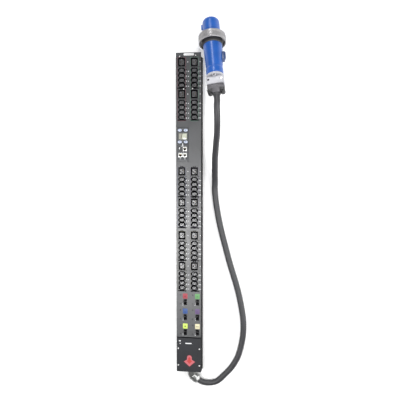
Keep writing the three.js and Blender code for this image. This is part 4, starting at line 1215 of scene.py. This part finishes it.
def plug_ring(looks):
    """The locking ring, with a smooth face, grip ribs round its rim and a web that turns on the body."""
    front, end, radius, bore = (RING[key] for key in ("front", "end", "radius", "web_bore"))
    inner = radius - 6.5
    profile = [(radius - 2.6, front), (radius - 0.6, front + 1.2), (radius - 0.3, front + 3),
               (radius - 0.3, front + 9), (radius - 1.3, front + 10), (radius - 1.3, end - 8),
               (radius - 0.3, end - 7), (radius - 0.3, end - 3), (radius - 1.6, end - 0.4),
               (radius - 4.0, end), (inner + 1.5, end), (inner, end - 2), (inner, end - 13),
               (bore, end - 13), (bore, end - 21), (inner - 3, end - 21), (inner, end - 24),
               (inner, front + 1.5), (inner + 1.4, front)]
    bm = turned(profile, 144, 0.7)
    outline = rounded_box(radius - 1.0, 0, 1.9, 3.4, 0.8, 2)
    levels = ((-0.6, front + 9.2), (0, front + 10.4), (0, end - 8.4), (-0.6, end - 7.2))
    for i in range(RING["ribs"]):
        rib = bmesh.new()
        loft(rib, [at(outline(grow), z) for grow, z in levels])
        merge(bm, shifted(rib, Matrix.Rotation(2 * math.pi * i / RING["ribs"], 4, "Z")))
    piece("plug_coupling_ring", on_plug(bm), looks["ring"], "plug_ring", ["plug_locking_ring"],
          30)


def plug_body(looks):
    """The tapered housing with a seam rib on each side, a collar at its rear and a latch on the right."""
    front, shoulder, waist, end, wide, narrow = (
        HOUSING[key] for key in ("front", "shoulder", "waist", "end", "radius", "waist_radius"))
    profile = [(wide - 0.2, front), (wide, front + 2), (wide, shoulder), (wide - 0.7, shoulder + 4),
               (narrow, waist - 6), (narrow, waist), (narrow + 1.5, waist + 4), (narrow + 1.5, end - 4),
               (narrow - 0.8, end), (15.9, end), (15.9, end - 5), (narrow - 4.6, end - 7),
               (narrow - 4.6, waist), (34.0, shoulder - 6), (36.1, shoulder - 11), (36.1, front)]
    bm = turned(profile, 128, 1.2)
    section = ((0, -1.6), (2.2, -1.1), (2.2, 1.1), (0, 1.6))
    stations = [(shoulder + 6, wide - 1.1, 0.4), (shoulder + 10, wide - 1.4, 1.0),
                (waist - 14, narrow + 0.2, 1.0), (waist - 8, narrow - 0.3, 0.4)]
    for side in (1, -1):
        loft(bm, [[(side * (r - 1 + dx * size), dy * size, z) for dx, dy in section]
                  for z, r, size in stations])
    piece("plug_housing", on_plug(bm), looks["blue"], replaces=["plug_body"], angle=28)
    seal = [(39.7, 103.8), (42.6, 104.6), (42.6, 125.6), (39.7, 128.4)]
    piece("plug_body_seal", on_plug(turned(seal, 128, 0.8)), looks["rubber"])
    bm = bmesh.new()
    half, centre_x, centre_z = 6.0, 41.0, 187.0
    levels = [(-half, 0.9), (-half + 0.8, 1.0), (half - 0.8, 1.0), (half, 0.9)]
    loft(bm, [[(centre_x + (x - centre_x) * k, y, centre_z + (z - centre_z) * k) for x, z in LATCH]
              for y, k in levels])
    # Painted shade: the latch takes a darker copy of the plug's blue, for its shading.
    piece("plug_latch", on_plug(bm), looks["shaded_latch_blue"], angle=40)


def plug_clamp(looks):
    cap(looks)
    for side, name in ((1, "upper"), (-1, "lower")):
        saddle(side, name, looks)
    for x, number in ((-SADDLE["lug_x"], 1), (SADDLE["lug_x"], 2)):
        bolt(x, number, looks)
    bm = bmesh.new()
    sleeve = [(13.05, 351.0), (16.2, 351.0), (15.6, 357.0), (14.4, 361.0), (13.05, 362.0)]
    lathe(bm, softened(sleeve, 0.6, 3, True), 64, True)
    piece("plug_cord_seal", on_plug(bm), looks["rubber"])


def cap(looks):
    """The pale cap: a round rim, a waist with webs, and a block with a screw on its top, with black patches
    painted as the shade inside a pocket and a hole.
    """
    start, rim, rim_end, block, end = (CAP[key] for key in ("start", "rim", "rim_end", "block", "end"))
    bore = ellipse(0, 0, 30, 30, 64)
    bm = bmesh.new()
    plate(bm, ellipse(0, 0, 2 * rim, 2 * rim, 96), start, rim_end, 1.4, [bore], low_bevel=0.6, hole_bevel=0)
    plate(bm, rounded_box(0, 0, 60, 34, 4), rim_end - 0.5, block + 0.5, 0, [bore])
    for side in (1, -1):
        plate(bm, rounded_box(0, side * 25.0, 14, 17.0, 2), rim_end - 0.5, block + 0.5)
    plate(bm, rounded_box(0, 0, CAP["width"], CAP["height"], 5, 6), block, end, 1.6, [bore], low_bevel=1.2,
          hole_bevel=0.4)
    piece("plug_cap", on_plug(bm), looks["flange"], replaces=["plug_clamp_flange"],
          angle=40)
    # Painted shade: two flush matt black patches, on a web of the waist and on the block's top, stand in for
    # the dark inside of a pocket and of a screw hole.
    bm = bmesh.new()
    turn = Matrix.Rotation(math.radians(-90), 4, "X")
    top = CAP["height"] / 2
    plate(bm, rounded_box(0, -(rim_end + block) / 2, 7.0, 4.6, 1.0), 33.4, 33.9)
    plate(bm, ellipse(-26, -299, 8.4, 8.4, 32), top - 1, top + 0.15)
    piece("plug_cap_painted_shade", on_plug(shifted(bm, turn)), looks["black"])
    bm = bmesh.new()
    plate(bm, ellipse(26, -299, 9, 9, 32), top - 1, top + 2.0, 0.9, [cross(26, -299, 2.8, 1.1)])
    piece("plug_cap_screw", on_plug(shifted(bm, turn)), looks["steel"])


def clamp_section(half_width, top, crown):
    """Half a clamp seen along the cord: flat below, an arc over the cord, crowned above."""
    gap, bore = 0.3, 13.3
    edge = [(half_width, gap), (half_width, top - 4.0), (half_width - 1.2, top - 1.4), (half_width - 4, top)]
    crowned = [(x, top + crown * (1 - (x / half_width) ** 2))
               for x in (half_width * 0.4, 0, -half_width * 0.4)]
    arc = [(-bore * math.cos(a), gap + bore * math.sin(a)) for a in (math.radians(15 * i) for i in range(13))]
    return [*edge, *crowned, *((-x, z) for x, z in reversed(edge)), *arc]


def saddle(side, name, looks):
    """Half of the cord clamp: a ridged block, a neck and two lugs for the bolts."""
    start, length, width, height = (SADDLE[key] for key in ("start", "length", "width", "height"))
    gap = 0.3
    bm = bmesh.new()
    stations = [(0.0, 0.97), (1.0, 1.0), (6.0, 1.0), (6.8, 0.95), (9.0, 0.95), (9.8, 1.0),
                (length - 3, 1.0), (length - 1, 0.96), (length, 0.9)]
    loft(bm, [[(x, side * z, start + s) for x, z in clamp_section(width / 2 * k, (height - 1.2) * k, 1.0)]
              for s, k in stations])
    neck = [(length - 1, 17.0, 19.5), (length + 10, 16.5, 18.0), (length + 15, 15.8, 17.0),
            (length + 17.2, 15.0, 15.8)]
    loft(bm, [[(x, side * z, start + s) for x, z in clamp_section(half, top - 1, 1.0)]
              for s, half, top in neck])
    lugs = bmesh.new()
    for x in (-SADDLE["lug_x"], SADDLE["lug_x"]):
        lug = bmesh.new()
        across = 2 * SADDLE["lug_radius"]
        plate(lug, ellipse(0, 0, across, across, 48), gap, height - 3.2, 2.2, [ellipse(0, 0, 6.8, 6.8, 32)],
              hole_bevel=0.5)
        turn = Matrix.Rotation(math.radians(-90 * side), 4, "X")
        merge(lugs, shifted(lug, Matrix.Translation((x * MM, 0, SADDLE["lugs"] * MM)) @ turn))
    piece(f"plug_saddle_{name}", on_plug(bm), looks["clamp"], replaces=[f"plug_clamp_{name}"])
    # Painted shade: the lugs belong to the clamp casting, but they take the dark steel finish so that they
    # read as the dark shaded lobes beside the clamp.
    piece(f"plug_lugs_painted_shade_{name}", on_plug(lugs), looks["dark_steel"])


def bolt(x, number, looks):
    """A clamp bolt: its shank, a round head with a cross recess, and a nut below."""
    seat = SADDLE["height"] - 3 + 0.3
    bm = bmesh.new()
    plate(bm, ellipse(0, 0, 6, 6, 32), -seat - 0.5, seat + 0.5)
    plate(bm, ellipse(0, 0, 12, 12, 40), seat, seat + 4.4, 1.4, [cross(0, 0, 3.6, 1.4)])
    plate(bm, nut_outline(6.0), -seat - 4.4, -seat, 0, low_bevel=0.6)
    turn = Matrix.Rotation(math.radians(-90), 4, "X")
    shifted(bm, Matrix.Translation((x * MM, 0, SADDLE["lugs"] * MM)) @ turn)
    piece(f"plug_bolt_{number}", on_plug(bm), looks["dark_steel"], replaces=[f"plug_clamp_bolt_{number}"],
          angle=40)


def plug(looks):
    plug_sleeve(looks)
    plug_contacts(looks)
    plug_ring(looks)
    plug_body(looks)
    plug_clamp(looks)


# ------------------------------------------------------------------ the scene

def floor(looks):
    """A plain pale floor under the strip."""
    bm = bmesh.new()
    half, drop = 6.0, 0.0002
    corners = ((-half, -half), (half, -half), (half, half), (-half, half))
    bm.faces.new([bm.verts.new((x, y, -drop)) for x, y in corners])
    data = bpy.data.meshes.new("floor")
    bm.to_mesh(data)
    bm.free()
    made = bpy.data.objects.new("floor", data)
    bpy.context.scene.collection.objects.link(made)
    data.materials.append(looks["floor"])


def dress_the_rest(looks):
    """Finishes for the CAD nodes that show as they are, or stay inside the casing."""
    for name, node in NODES.items():
        for start, look in NODE_LOOKS:
            if name.startswith(start):
                dress(node, looks[look])
                break


NODE_LOOKS = (
    ("outlet_bank", "outlet"), ("control_faceplate", "module"), ("display", "glass"),
    ("menu_button", "button"), ("network_jack", "shell"), ("serial_jack", "shell"), ("usb", "zinc"),
    ("control_board", "board"), ("metering_board", "board"), ("breaker_body", "breaker"),
    ("breaker_toggle", "toggle"), ("busbar", "copper"), ("terminal_block", "breaker"),
    ("ground_stud", "brass"), ("gland", "zinc"),
    ("plug_sleeve", "blue"), ("plug_contact_carrier", "black"), ("plug_locking_ring", "ring"),
    ("plug_body", "blue"), ("plug_clamp_flange", "flange"), ("plug_clamp_bolt", "steel"),
    ("plug_clamp", "clamp"), ("power_cord", "rubber"),
)

looks = make_finishes()
prints = {name: coloured_print(f"print_{name}", colour) for name, colour in SECTION_COLOURS}
prints.update({f"label_{name}": coloured_print(f"label_{name}", colour)
               for name, colour in LABEL_COLOURS.items()})
prints.update({f"centre_{name}": coloured_print(f"centre_{name}", shade(colour, LABEL_CENTRE[name]))
               for name, colour in LABEL_COLOURS.items()})
prints["arrow"] = coloured_print("print_arrow", (0.4, 0.085, 0.1))
prints["arrow_middle"] = coloured_print("print_arrow_middle", (0.36, 0.028, 0.024))
prints["arrow_rim"] = coloured_print("print_arrow_rim", (0.09, 0.008, 0.014))

place_camera()
light_studio()
floor(looks)
dress_the_rest(looks)
cord, cord_exit, cord_length = power_cord(looks)
casing(looks)
for number, (x, y) in enumerate(bank_places(), 1):
    outlet_bank(number, x, y, looks)
section_outlines(prints)
outlet_marks(looks)
cover_prints(looks, prints)
control_module(looks)
breakers(looks, prints)
gland(looks)
plug(looks)
